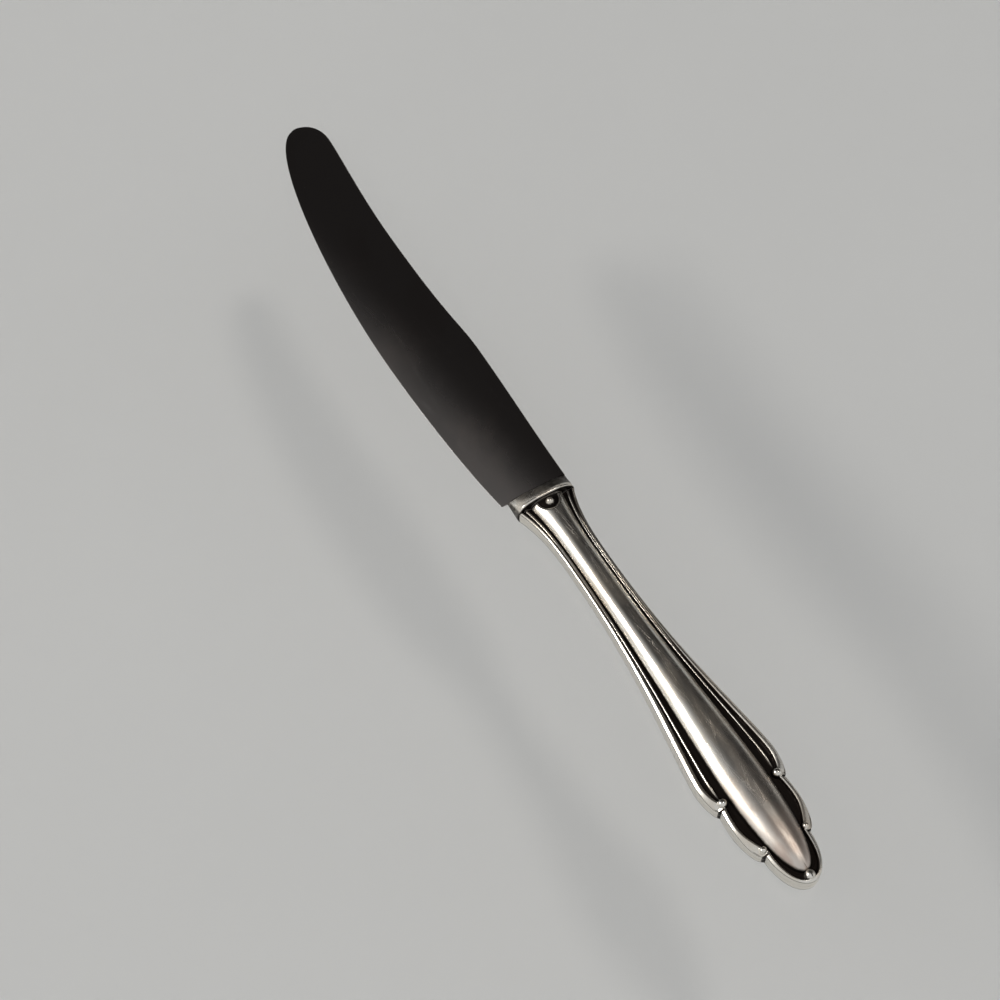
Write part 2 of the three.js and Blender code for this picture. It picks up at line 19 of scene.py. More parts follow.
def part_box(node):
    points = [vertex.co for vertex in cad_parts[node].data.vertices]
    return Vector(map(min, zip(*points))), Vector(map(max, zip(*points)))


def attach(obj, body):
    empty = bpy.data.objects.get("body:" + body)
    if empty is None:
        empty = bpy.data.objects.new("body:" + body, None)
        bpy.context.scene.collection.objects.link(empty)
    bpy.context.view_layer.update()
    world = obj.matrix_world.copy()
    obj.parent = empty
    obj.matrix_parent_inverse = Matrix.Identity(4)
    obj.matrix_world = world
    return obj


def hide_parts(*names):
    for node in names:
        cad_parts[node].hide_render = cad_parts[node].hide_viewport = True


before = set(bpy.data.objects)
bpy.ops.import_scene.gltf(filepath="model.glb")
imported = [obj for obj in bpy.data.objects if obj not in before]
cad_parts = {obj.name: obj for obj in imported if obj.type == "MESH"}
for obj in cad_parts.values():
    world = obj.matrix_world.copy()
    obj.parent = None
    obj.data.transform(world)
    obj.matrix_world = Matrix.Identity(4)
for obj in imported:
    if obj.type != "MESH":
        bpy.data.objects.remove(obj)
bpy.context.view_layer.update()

LOG = logging.getLogger("table_knife")
MM = 0.001
BODY = "root"
BEAD_FLANK = 3.0
FINE_BUMP = 0.00001
ACROSS = np.array([1.0, -1.0, 1.0])
Array = np.ndarray
Pair = tuple[float, float]
Triple = tuple[float, float, float]
Colour = Triple
Node = bpy.types.Node
Socket = bpy.types.NodeSocket


def share(x: Array, start: float, end: float) -> Array:
    """Share of the way from start to end, held between 0 and 1."""
    return np.clip((x - start) / (end - start), 0.0, 1.0)


def lerp(a: Array | float, b: Array | float, t: Array | float) -> Array:
    """Straight mix of a and b."""
    return a + (b - a) * t


def ease(t: Array) -> Array:
    """Half a cosine wave, level at both ends."""
    return (1.0 - np.cos(np.pi * t)) / 2.0


def glide(a: float, b: float, x: Array, start: float, end: float) -> Array:
    """Mix of a and b that eases from start to end."""
    return lerp(a, b, ease(share(x, start, end)))


def stretches(x: Array, ends: tuple[float, ...], values: list[Array | float]) -> Array:
    """Value of the first stretch that ends beyond each place, or else of the last one."""
    return np.select([x < end for end in ends], values[:-1], values[-1])


def bulge(t: Array) -> Array:
    """Quarter of a circle, upright at 0 and level at 1."""
    return np.sqrt(np.clip(1.0 - (1.0 - t) ** 2, 0.0, 1.0))


def superellipse(t: Array, power: float) -> Array:
    """Quarter of a superellipse, upright at 0 and level at 1."""
    return (1.0 - (1.0 - t) ** power) ** (1.0 / power)


def smooth_max(a: Array, b: Array, fillet: float) -> Array:
    """Higher of two surfaces, with a fillet where their heights differ by less than it."""
    lack = np.clip(fillet - np.abs(a - b), 0.0, None)
    return np.maximum(a, b) + lack**2 / (4.0 * fillet)


def bead_drop(away: Array, radius: Array | float) -> Array:
    """How far a round bead has fallen at a distance from its crest, steeply beyond its radius."""
    ball = np.sqrt(np.clip(radius**2 - away**2, 0.0, None))
    return radius - ball + BEAD_FLANK * np.clip(away - radius, 0.0, None)


def closing(start: float, end: float, count: int) -> Array:
    """Places from start to end, closer at start as a quarter ellipse that is upright there needs."""
    return lerp(end, start, np.cos(np.linspace(0.0, np.pi / 2.0, count, endpoint=False)))


def even(start: float, end: float, count: int) -> Array:
    """Places from start to end in even steps, without the end."""
    return np.linspace(start, end, count, endpoint=False)


def path_distance(x: Array, y: Array, path: Array) -> Array:
    """Least distance in the plan from each point to a path, whose corners are rows."""
    start, step = path[:-1], np.diff(path, axis=0)
    points = np.stack([x.ravel(), y.ravel()], 1)[:, None]
    along = np.clip(((points - start) * step).sum(2) / (step**2).sum(1), 0.0, 1.0)
    gap = points - (start + along[..., None] * step)
    return np.sqrt((gap**2).sum(2).min(1)).reshape(x.shape)


@dataclass(frozen=True)
class Placement:
    """Where the knife's own coordinates lie in the frame, in metres."""

    butt: float
    middle: float

    @classmethod
    def from_frame(cls) -> "Placement":
        """Takes the butt from the front shell and the middle plane from both shells."""
        front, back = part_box("handle_front_shell"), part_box("handle_back_shell")
        return cls(butt=front[0].x, middle=(front[1].z + back[0].z) / 2.0)

    def to_row(self, points: Array) -> Array:
        """Turns points in millimetres into metres in the frame."""
        return points * MM + np.array([self.butt, 0.0, self.middle])


PLACE = Placement.from_frame()


class Solid:
    """Vertices and faces of one closed piece, gathered before they become a mesh."""

    def __init__(self, vertices: Array) -> None:
        """Starts with the vertices, one row each, in millimetres."""
        self.vertices = vertices
        self.faces: list[Array] = []

    def add(self, *corners: Array) -> None:
        """Adds faces from arrays of corner numbers, one array for each corner."""
        self.faces.append(np.stack([corner.ravel() for corner in corners], 1))

    def grid(self, index: Array) -> None:
        """Adds the four-sided faces between the neighbours of a table of corner numbers."""
        self.add(index[:-1, :-1], index[1:, :-1], index[1:, 1:], index[:-1, 1:])

    @classmethod
    def tube(cls, rings: Array) -> "Solid":
        """Piece whose side runs along closed rings of points, with its first and last ring filled."""
        solid = cls(rings.reshape(-1, 3))
        index = np.arange(len(solid.vertices)).reshape(rings.shape[:2])
        solid.grid(np.concatenate([index, index[:, :1]], 1))
        solid.add(*index[0][:, None])
        solid.add(*index[-1][::-1][:, None])
        return solid

    def drop_loose(self) -> Array:
        """Drops the vertices that no face uses and returns the old numbers of those that stay."""
        used = np.concatenate([corners.ravel() for corners in self.faces])
        kept, numbers = np.unique(used, return_inverse=True)
        ends = np.cumsum([corners.size for corners in self.faces])[:-1]
        parts = np.split(numbers.ravel(), ends)
        self.faces = [part.reshape(corners.shape) for part, corners in zip(parts, self.faces)]
        self.vertices = self.vertices[kept]
        return kept

    def flipped(self) -> "Solid":
        """The same piece on the other side of the middle plane, with its faces still outward."""
        other = Solid(self.vertices * np.array([1.0, 1.0, -1.0]))
        other.faces = [corners[:, ::-1] for corners in self.faces]
        return other

    def to_object(self, name: str, sharp: float = 60.0, place: Placement = PLACE) -> bpy.types.Object:
        """Makes the piece's object, at the origin and with its place in its mesh.

        Args:
            name: Name of the object.
            sharp: Angle in degrees above which an edge stays sharp.
            place: Where the vertices' coordinates lie in the frame.

        Returns:
            The object, linked to the scene and smooth shaded.
        """
        mesh = bpy.data.meshes.new(name)
        mesh.vertices.add(len(self.vertices))
        mesh.vertices.foreach_set("co", place.to_row(self.vertices).astype(np.float32).ravel())
        loops = np.concatenate([corners.ravel() for corners in self.faces])
        sizes = np.concatenate([np.full(len(corners), corners.shape[1]) for corners in self.faces])
        mesh.loops.add(len(loops))
        mesh.loops.foreach_set("vertex_index", loops.astype(np.int32))
        mesh.polygons.add(len(sizes))
        starts = np.concatenate([[0], np.cumsum(sizes)[:-1]])
        mesh.polygons.foreach_set("loop_start", starts.astype(np.int32))
        mesh.polygons.foreach_set("use_smooth", np.ones(len(sizes), bool))
        mesh.update(calc_edges=True)
        mesh.validate()
        mesh.set_sharp_from_angle(angle=math.radians(sharp))
        obj = bpy.data.objects.new(name, mesh)
        bpy.context.scene.collection.objects.link(obj)
        return obj


def store_mask(obj: bpy.types.Object, name: str, values: Array) -> None:
    """Keeps one number for each vertex of a piece as an attribute that its material reads."""
    mask = obj.data.attributes.new(name, "FLOAT", "POINT")
    mask.data.foreach_set("value", values.astype(np.float32).ravel())


@dataclass(frozen=True)
class HandleForm:
    """Plan and heights of the handle that its shells and its seam share, in millimetres."""

    length: float
    belly_half_width: float
    crown_belly: float
    notch_small: float = 10.0
    middle_peak: float = 18.6
    notch_large: float = 23.3
    belly: float = 30.3
    neck: float = 90.0
    butt_half_width: float = 5.75
    middle_half_width: float = 8.65
    notch_drop: float = 0.25
    neck_half_width: float = 4.95
    mouth_half_width: float = 7.5
    taper_skew: float = 0.65
    flare_power: float = 3.0
    first_centre: float = 6.0
    panel_start: float = 2.7
    panel_widest: float = 27.0
    panel_half_widths: Triple = (5.6, 3.3, 4.6)
    panel_point_power: float = 2.3
    panel_skew: float = 0.77
    panel_arch_power: float = 0.75
    crown_power: float = 2.6
    crown_neck: float = 3.7
    crown_mouth: float = 4.0
    land_start: float = 26.0
    land_end: float = 38.0
    land_half_width: float = 0.4
    land_share: float = 0.1
    rims: tuple[float, float, float, float] = (2.3, 2.5, 2.0, 2.1)
    rim_insets: tuple[float, float, float, float] = (0.85, 0.85, 0.45, 0.45)
    groove_depth: float = 0.8
    reed_place: float = 0.45
    seam: float = 0.05
    wall: float = 0.6
    least_half_width: float = 0.01
    fine_mouth: float = 5.5
    columns: tuple[int, ...] = (56, 50, 34, 46, 104, 34, 42)
    halvings: int = 30

    @classmethod
    def from_frame(cls) -> "HandleForm":
        """Takes the length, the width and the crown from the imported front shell."""
        low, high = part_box("handle_front_shell")
        return cls((high.x - low.x) / MM, high.y / MM, (high.z - PLACE.middle) / MM)

    def along(self, x: Array, marks: tuple[float, float, float, float]) -> Array:
        """Value that eases between its marks at the butt, the belly, the neck and the mouth."""
        butt, belly, neck, mouth = marks
        return stretches(x, (self.belly, self.neck), [
            glide(butt, belly, x, 0.0, self.belly),
            glide(belly, neck, x, self.belly, self.neck),
            glide(neck, mouth, x, self.neck, self.length),
        ])

    def outline(self, x: Array) -> Array:
        """Half width of the handle.

        Args:
            x: Places from the butt.

        Returns:
            Quarter ellipses for the three lobes, a skewed cosine taper and a cubic flare at the mouth.
        """
        small, drop = self.butt_half_width, self.middle_half_width - self.notch_drop
        taper = ease(share(x, self.belly, self.neck) ** self.taper_skew)
        flare = share(x, self.neck, self.length) ** self.flare_power
        ends = (self.notch_small, self.middle_peak, self.notch_large, self.belly, self.neck)
        return stretches(x, ends, [
            small * bulge(share(x, 0.0, self.notch_small)),
            lerp(small, self.middle_half_width, bulge(share(x, self.notch_small, self.middle_peak))),
            lerp(self.middle_half_width, drop, share(x, self.middle_peak, self.notch_large) ** 2),
            lerp(drop, self.belly_half_width, bulge(share(x, self.notch_large, self.belly))),
            lerp(self.belly_half_width, self.neck_half_width, taper),
            lerp(self.neck_half_width, self.mouth_half_width, flare),
        ])

    def panel_half_width(self, x: Array) -> Array:
        """Half width of the arched panel: a superellipse at the butt, then a taper and the flare."""
        wide, slim, mouth = self.panel_half_widths
        point = wide * superellipse(share(x, self.panel_start, self.panel_widest), self.panel_point_power)
        taper = lerp(wide, slim, ease(share(x, self.panel_widest, self.neck) ** self.panel_skew))
        flare = lerp(slim, mouth, share(x, self.neck, self.length) ** self.flare_power)
        return stretches(x, (self.panel_widest, self.neck), [point, taper, flare])

    def rim(self, x: Array) -> Array:
        """Height of the rim's crest."""
        return self.along(x, self.rims)

    def rim_inset(self, x: Array) -> Array:
        """Distance of the rim's crest from the outline."""
        return self.along(x, self.rim_insets)

    def groove(self, x: Array) -> Array:
        """Height of the bottom of the grooves."""
        return self.rim(x) - self.groove_depth

    def crown(self, x: Array) -> Array:
        """Height of the panel's middle line: a superellipse at the butt, a flat land and a shallow saddle."""
        swell = superellipse(share(x, self.panel_start, self.land_start), self.crown_power)
        nose = lerp(self.groove(x), self.crown_belly, swell)
        fall = glide(self.crown_belly, self.crown_neck, x, self.land_end, self.neck)
        rise = glide(self.crown_neck, self.crown_mouth, x, self.neck, self.length)
        return stretches(x, (self.land_start, self.neck), [nose, fall, rise])

    def arch(self, x: Array, y: Array, depth: float = 0.0) -> Array:
        """Height of the panel, level with the groove beyond its foot.

        Args:
            x: Places from the butt.
            y: Distances from the middle line.
            depth: How far below the outside the surface lies.

        Returns:
            Foot plus the rise to the crown times one less the squared share of the half width, to a power.
        """
        half = np.clip(self.panel_half_width(x) - depth, self.least_half_width, None)
        land = np.minimum(self.land_half_width, self.land_share * half)
        t = np.clip((y - land) / (half - land), 0.0, 1.0)
        return lerp(self.groove(x), self.crown(x), (1.0 - t**2) ** self.panel_arch_power) - depth

    def places(self) -> Array:
        """Places of the columns from the butt to the mouth, closest at the lobes, the knobs and the mouth."""
        butt, middle, notch, long, taper, flare, mouth = self.columns
        cup = self.length - self.fine_mouth
        return np.concatenate([
            closing(0.0, self.notch_small, butt),
            closing(self.notch_small, self.middle_peak, middle),
            even(self.middle_peak, self.notch_large, notch),
            closing(self.notch_large, self.belly, long),
            even(self.belly, self.neck, taper),
            even(self.neck, cup, flare),
            np.linspace(cup, self.length, mouth),
        ])

    def centres(self, x: Array) -> Array:
        """Where the ray from each place of the outline meets the middle line."""
        butt = lerp(self.first_centre, self.notch_small, x / self.notch_small)
        return np.where(x < self.notch_small, butt, x)

    def ray_lengths(self, x: Array) -> Array:
        """Length of each ray, from the outline to the middle line."""
        return np.hypot(self.centres(x) - x, self.outline(x))

    def on_rays(self, x: Array, part: Array) -> tuple[Array, Array]:
        """Plan of points at parts of the rays.

        Args:
            x: Places of the columns.
            part: Parts of the way from the outline to the middle line, a row for each column.

        Returns:
            Places along the handle and distances from its middle line.
        """
        return lerp(x[:, None], self.centres(x)[:, None], part), self.outline(x)[:, None] * (1.0 - part)

    def foot_parts(self, x: Array) -> Array:
        """Parts of the rays at which they meet the panel's foot, found by halving the interval."""
        low, high = np.zeros_like(x), np.ones_like(x)
        for _ in range(self.halvings):
            middle = (low + high) / 2.0
            across = self.outline(x) * (1.0 - middle)
            outside = across > self.panel_half_width(lerp(x, self.centres(x), middle))
            low, high = np.where(outside, middle, low), np.where(outside, high, middle)
        return low


@dataclass(frozen=True)
class Knob:
    """Ball that stands on the handle, by its place, its radius and the height of its top."""

    x: float
    y: float
    radius: float
    top: float

    def height(self, x: Array, y: Array) -> Array:
        """Upper half of the ball, falling steeply beyond its widest ring."""
        return self.top - bead_drop(np.hypot(x - self.x, y - self.y), self.radius)


class Side(Enum):
    """Which half of the handle a shell is."""

    FRONT = "front"
    BACK = "back"


@dataclass(frozen=True)
class PatinaAndShade:
    """Where a shell is clean and where it is darkened, in millimetres: patina in the grooves, patina at the
    panel's foot carried up its flank as painted shade, and painted shade on the rim's inner flank, in the
    notches and in a crease under the rim.

    Pairs of the rim are for thin and broad rims and pairs of the reed for the belly and the neck. The foot's
    are heights over the groove at the butt, the belly and the neck, and the knob's are shares of its radius.
    """

    rim_radii: Pair = (0.45, 0.85)
    rim_clean: Pair = (0.05, 0.35)
    rim_dark: Pair = (0.2, 0.6)
    reed_clean: Pair = (0.2, 0.27)
    reed_dark: Pair = (0.36, 0.45)
    reed_shade: float = 0.5
    reed_shade_reach: Pair = (0.05, 0.2)
    butt_reach: Pair = (12.0, 34.0)
    foot_dark: Triple = (0.35, 0.45, 0.3)
    foot_clean: Triple = (1.4, 1.3, 0.85)
    knob_reach: Pair = (0.7, 1.1)
    notch_reach: Pair = (0.1, 0.45)
    bead_clean: float = 0.35
    mouth_reach: Pair = (0.35, 0.1)
    # Skirt rows from the seam up: painted shade of a crease line just under the rim.
    skirt: tuple[float, ...] = (0.0, 0.0, 0.0, 0.0, 0.1, 0.7, 0.5, 0.0)


@dataclass(frozen=True)
class HalfShell:
    """One stamped half of the handle with its rim, reed, panel, knobs and beads, in millimetres."""

    form: HandleForm
    limits: PatinaAndShade = PatinaAndShade()
    large_knob: Knob = Knob(24.6, 7.2, 1.1, 3.4)
    small_knob: Knob = Knob(11.3, 5.55, 0.85, 2.95)
    butt_bead: Knob = Knob(1.7, 0.0, 1.2, 3.15)
    mouth_bead: Knob = Knob(108.9, 0.0, 0.95, 4.55)
    middle_crest: Pair = (18.5, 7.97)
    middle_crest_fall: float = 0.37
    middle_crest_stop: float = 0.4
    long_crest_overrun: float = 1.0
    butt_crest: Triple = (0.7, 10.6, 5.05)
    butt_crest_power: float = 2.3
    butt_crest_lead: float = -0.15
    middle_rim_radius: float = 0.75
    butt_rim_radius: float = 0.62
    outer_round: float = 0.15
    outer_slope: float = 0.74
    lean: float = 0.1
    reed_radii: Pair = (0.28, 0.36)
    reed_swell: Pair = (55.0, 85.0)
    reed_height: float = 0.55
    reed_fade: Pair = (25.0, 30.0)
    cup_reach: float = 3.9
    cup_half_width: float = 3.2
    cup_depth: float = 0.5
    cup_floor: float = 0.72
    fillet: float = 0.12
    panel_border: float = 0.6
    skirt_rise: tuple[float, ...] = (0.0, 0.04, 0.3, 0.6, 0.78, 0.85, 0.92, 0.97)
    outer_rows: tuple[int, int, int, int] = (10, 13, 12, 30)
    panel_rows_power: float = 1.2
    inner_rows: int = 9
    inner_start: float = 0.03

    def long_crest(self) -> Array:
        """Crest of the long lobe's rim: a quarter ellipse from the large knob, then the outline's offset."""
        form, knob = self.form, self.large_knob
        angle = even(0.0, np.pi / 2.0, 36)
        top = form.outline(np.array(form.belly)) - form.rim_inset(np.array(form.belly))
        curl = np.stack([
            lerp(form.belly, knob.x, np.cos(angle)),
            lerp(knob.y, top, np.sin(angle)),
        ], 1)
        x = np.linspace(form.belly, form.length + self.long_crest_overrun, 170)
        return np.concatenate([curl, np.stack([x, form.outline(x) - form.rim_inset(x)], 1)])

    def middle_lobe_crest(self) -> Array:
        """Crest of the middle lobe's rim: a quarter sine out of the small knob, then a parabola."""
        knob, (peak, height) = self.small_knob, self.middle_crest
        x = np.linspace(knob.x, self.large_knob.x - self.middle_crest_stop, 70)
        rise = lerp(knob.y, height, np.sin(np.pi / 2.0 * share(x, knob.x, peak)))
        fall = self.middle_crest_fall * ((np.maximum(x, peak) - peak) / (self.form.notch_large - peak)) ** 2
        return np.stack([x, rise - fall], 1)

    def butt_lobe_crest(self) -> Array:
        """Crest of the butt lobe's rim: a quarter superellipse from the butt to the small knob."""
        start, end, height = self.butt_crest
        angle = np.linspace(self.butt_crest_lead, np.pi / 2.0, 60)
        power = 2.0 / self.butt_crest_power
        x = lerp(end, start, np.cos(angle) ** power)
        return np.stack([x, height * np.sign(angle) * np.abs(np.sin(angle)) ** power], 1)

    def rim_height(self, x: Array, y: Array) -> Array:
        """Height of the three rims with their knobs.

        Args:
            x: Places from the butt.
            y: Distances from the middle line.

        Returns:
            Crest height less the drop of a round bead on the inner side and of a hyperbola
            on the outer side, the highest of the rims and knobs.
        """
        form = self.form
        crests = [self.long_crest(), self.middle_lobe_crest(), self.butt_lobe_crest()]
        radii = [form.rim_inset(x), self.middle_rim_radius, self.butt_rim_radius]
        height = np.full_like(x, -1.0)
        for crest, radius in zip(crests, radii):
            away = path_distance(x, y, crest)
            outer = self.outer_slope * (np.hypot(away, self.outer_round) - self.outer_round)
            outside = y > np.interp(x, crest[:, 0], crest[:, 1])
            rim = form.rim(x) - np.where(outside, outer, bead_drop(away, radius))
            height = smooth_max(height, rim, self.fillet)
        for knob in (self.large_knob, self.small_knob):
            height = smooth_max(height, knob.height(x, y), self.fillet)
        return height

    def crest_line(self, x: Array) -> Array:
        """Distance of the rims' crest from the middle line, from the butt through the knobs to the mouth."""
        crest = np.concatenate([self.butt_lobe_crest(), self.middle_lobe_crest(), self.long_crest()])
        crest = crest[np.argsort(crest[:, 0], kind="stable")]
        return np.interp(x, crest[:, 0], crest[:, 1])

    def reed_line(self, x: Array) -> Array:
        """Distance of the reed from the middle line, between the panel's foot and the rim's crest."""
        form = self.form
        crest = form.outline(x) - form.rim_inset(x)
        return lerp(form.panel_half_width(x), crest, form.reed_place)

    def reed(self, x: Array, y: Array) -> Array:
        """Height of the reed: a thin round bead that fades out before the large knob."""
        radius = lerp(*self.reed_radii, share(x, *self.reed_swell))
        drop = bead_drop(np.abs(y - self.reed_line(x)), radius)
        return self.form.groove(x) + self.reed_height * ease(share(x, *self.reed_fade)) - drop

    def cup(self, x: Array, y: Array) -> Array:
        """How far a point lies into the cup round the mouth bead, from 0 outside to 1 on its floor."""
        ellipse = np.hypot((self.form.length - x) / self.cup_reach, y / self.cup_half_width)
        return ease(1.0 - share(ellipse, self.cup_floor, 1.0))

    def outside(self, x: Array, y: Array) -> tuple[Array, Array]:
        """Height of the outside and how deep each point lies in a groove.

        Args:
            x: Places from the butt.
            y: Distances from the middle line.

        Returns:
            The panel less its cup, the reed, the rims and the beads blended by their higher one,
            and a mask that is 1 on the groove's bottom and 0 near the crests and outside the rims.
        """
        cup = self.cup(x, y)
        panel = self.form.arch(x, y) - self.cup_depth * cup
        height = smooth_max(panel, self.reed(x, y), self.fillet)
        height = smooth_max(height, self.rim_height(x, y), self.fillet)
        beads = smooth_max(self.butt_bead.height(x, y), self.mouth_bead.height(x, y), self.fillet)
        proud = np.clip(beads - height, 0.0, None)
        height = smooth_max(height, beads, self.fillet)
        # Patina and painted shade from the grooves, filled in the cup round the mouth bead and cleared on the
        # beads.
        recess = np.maximum(self.patina_and_shade(x, y, height), cup) * (1.0 - share(proud, 0.0, self.limits.bead_clean))
        start, end = (self.form.length - reach for reach in self.limits.mouth_reach)
        return height, np.maximum(recess, share(x, start, end))

    def patina_and_shade(self, x: Array, y: Array, height: Array) -> Array:
        """Where patina lies in the grooves, and where shade is painted up the panel's foot, on the rim's
        inner flank and in the notches.

        Args:
            x: Places from the butt.
            y: Distances from the middle line.
            height: Heights of the outside there.

        Returns:
            1 on the panel's foot, on the rim's inner flank and in the grooves and the notches,
            falling to 0 up the panel, at the rim's crest, on the reed and on the knobs.
        """
        form, limits = self.form, self.limits
        radii = [self.butt_rim_radius, self.middle_rim_radius, form.rim_inset(x)]
        radius = stretches(x, (self.small_knob.x, self.large_knob.x), radii)
        broad = share(radius, *limits.rim_radii)
        # Painted shade on the rim's inner flank, clearing towards the crest.
        inner = share(self.crest_line(x) - y, lerp(*limits.rim_clean, broad), lerp(*limits.rim_dark, broad))
        beside = y - self.reed_line(x)
        neck = share(x, *self.reed_swell)
        reed = 1.0 - share(np.abs(beside), lerp(*limits.reed_clean, neck), lerp(*limits.reed_dark, neck))
        shade = limits.reed_shade * (1.0 - neck) * share(-beside, *limits.reed_shade_reach)
        reed = reed * share(x, *self.reed_fade) * (1.0 - shade)
        near_butt = 1.0 - share(x, *limits.butt_reach)
        low, high = (
            lerp(lerp(belly, butt, near_butt), mouth, neck)
            for butt, belly, mouth in (limits.foot_dark, limits.foot_clean)
        )
        # Patina at the panel's foot, carried up its flank as painted shade.
        foot = 1.0 - share(height - form.groove(x), low, high)
        dark = np.where(y < form.panel_half_width(x), foot, inner * (1.0 - reed))
        for knob in (self.large_knob, self.small_knob):
            start, end = (part * knob.radius for part in limits.knob_reach)
            dark = dark * share(np.hypot(x - knob.x, y - knob.y), start, end)
        # Painted shade in the notches.
        return np.maximum(dark, self.notches(x) * (y > self.crest_line(x)))

    def notches(self, x: Array) -> Array:
        """Nearness to the two notches between the lobes, 1 at them and 0 beyond their reach."""
        away = np.minimum(np.abs(x - self.form.notch_small), np.abs(x - self.form.notch_large))
        return 1.0 - share(away, *self.limits.notch_reach)

    def ray_parts(self, x: Array) -> Array:
        """Parts of the rays where the rows lie: on the rim, the reed, the panel's foot and between."""
        form = self.form
        length = form.ray_lengths(x)
        foot = form.foot_parts(x)
        rim = form.rim_inset(x) / length
        reed = lerp(foot, rim, form.reed_place)
        marks = [self.lean / length, rim, reed, foot, np.ones_like(x)]
        steps = [even(0.0, 1.0, count) for count in self.outer_rows[:-1]]
        steps.append(np.linspace(0.0, 1.0, self.outer_rows[-1]) ** self.panel_rows_power)
        rows = zip(marks[:-1], marks[1:], steps)
        return np.concatenate([lerp(start[:, None], end[:, None], t) for start, end, t in rows], 1)

    @staticmethod
    def both_sides(half: Array, flip: Array | float = 1.0) -> Array:
        """Joins the columns of both sides, from the edge side's mouth round the butt and back."""
        return np.concatenate([half[::-1], half[1:] * flip])

    @staticmethod
    def numbering(columns: int, rows: int, first: int) -> Array:
        """Corner numbers of a grid whose last row folds onto itself along the middle line."""
        index = first + np.arange(columns * rows).reshape(columns, rows)
        index[columns // 2 + 1:, -1] = index[: columns // 2, -1][::-1]
        return index

    def build(self, side: Side) -> bpy.types.Object:
        """Makes the shell: outside, inside, the edge on the seam and the end at the mouth.

        Args:
            side: The half of the handle.

        Returns:
            The closed shell with its groove mask and its panel mask.
        """
        form = self.form
        x = form.places()
        plan_x, plan_y = form.on_rays(x, self.ray_parts(x))
        height, recess = self.outside(plan_x, plan_y)
        face = np.stack([plan_x, plan_y, height], 2)
        rise = np.array(self.skirt_rise)
        lean = self.lean / form.ray_lengths(x)[:, None]
        skirt_x, skirt_y = form.on_rays(x, lean * (1.0 - np.sqrt(1.0 - rise**2)))
        skirt = np.stack([skirt_x, skirt_y, lerp(form.seam, height[:, :1], rise)], 2)
        outer = self.both_sides(np.concatenate([skirt, face], 1), ACROSS)
        inner = self.both_sides(self.inside(x), ACROSS)
        columns, rows = outer.shape[:2]
        solid = Solid(np.concatenate([outer.reshape(-1, 3), inner.reshape(-1, 3)]))
        out = self.numbering(columns, rows, 0)
        into = self.numbering(columns, inner.shape[1], columns * rows)
        solid.grid(out)
        solid.grid(into[::-1])
        solid.add(out[:-1, 0], into[:-1, 0], into[1:, 0], out[1:, 0])
        self.close_mouth(solid, out[0], into[0], forward=True)
        self.close_mouth(solid, out[-1], into[-1], forward=False)
        kept = solid.drop_loose()
        obj = (solid if side is Side.FRONT else solid.flipped()).to_object(f"{side.value}_shell")
        masks = {
            # On the skirt rows: the painted crease shade under the rim and the painted shade at the notches.
            "recess": (np.maximum(self.limits.skirt, self.notches(x)[:, None]), recess),
            "panel": (0.0 * skirt_x, share(form.panel_half_width(plan_x) - plan_y, 0.0, self.panel_border)),
        }
        for name, parts in masks.items():
            shown = self.both_sides(np.concatenate(parts, 1)).ravel()
            store_mask(obj, name, np.concatenate([shown, np.zeros(inner.size // 3)])[kept])
        return obj

    def inside(self, x: Array) -> Array:
        """Points of the shell's inside, a sheet's thickness within the outside, for one half."""
        form = self.form
        start = (form.wall / form.ray_lengths(x))[:, None]
        rows = lerp(start, 1.0, np.linspace(self.inner_start, 1.0, self.inner_rows))
        part = np.concatenate([start, rows], 1)
        plan_x, plan_y = form.on_rays(x, part)
        height = form.arch(plan_x, plan_y, form.wall)
        height[:, 0] = form.seam
        return np.stack([plan_x, plan_y, height], 2)

    @staticmethod
    def close_mouth(solid: Solid, out: Array, into: Array, forward: bool) -> None:
        """Closes one side of the mouth's end between the outside's and the inside's last columns.

        Args:
            solid: The shell.
            out: Corner numbers of the outside's column.
            into: Corner numbers of the inside's column, fewer of them.
            forward: Whether the column order makes the triangles face along the handle as they are.
        """
        match = np.round(np.linspace(0, len(into) - 1, len(out))).astype(int)
        near, far = into[match[:-1]], into[match[1:]]
        apart = near != far
        first = [out[:-1], out[1:], far]
        second = [out[:-1][apart], far[apart], near[apart]]
        for corners in (first, second):
            solid.add(*(corners if forward else corners[::-1]))


@dataclass(frozen=True)
class SeamSolder:
    """Strip of solder that fills the joint between the shells, in millimetres."""

    form: HandleForm
    recess: float = 0.03

    def build(self) -> bpy.types.Object:
        """Makes the strip: a rectangle carried along the outline from mouth to mouth."""
        form = self.form
        x = form.places()
        depths = np.array([self.recess, self.recess, form.wall, form.wall])
        plan_x, plan_y = form.on_rays(x, depths / form.ray_lengths(x)[:, None])
        level = np.broadcast_to(np.array([-1.0, 1.0, 1.0, -1.0]) * form.seam, plan_x.shape)
        rings = HalfShell.both_sides(np.stack([plan_x, plan_y, level], 2), ACROSS)
        return Solid.tube(rings).to_object("seam_line", sharp=40.0)


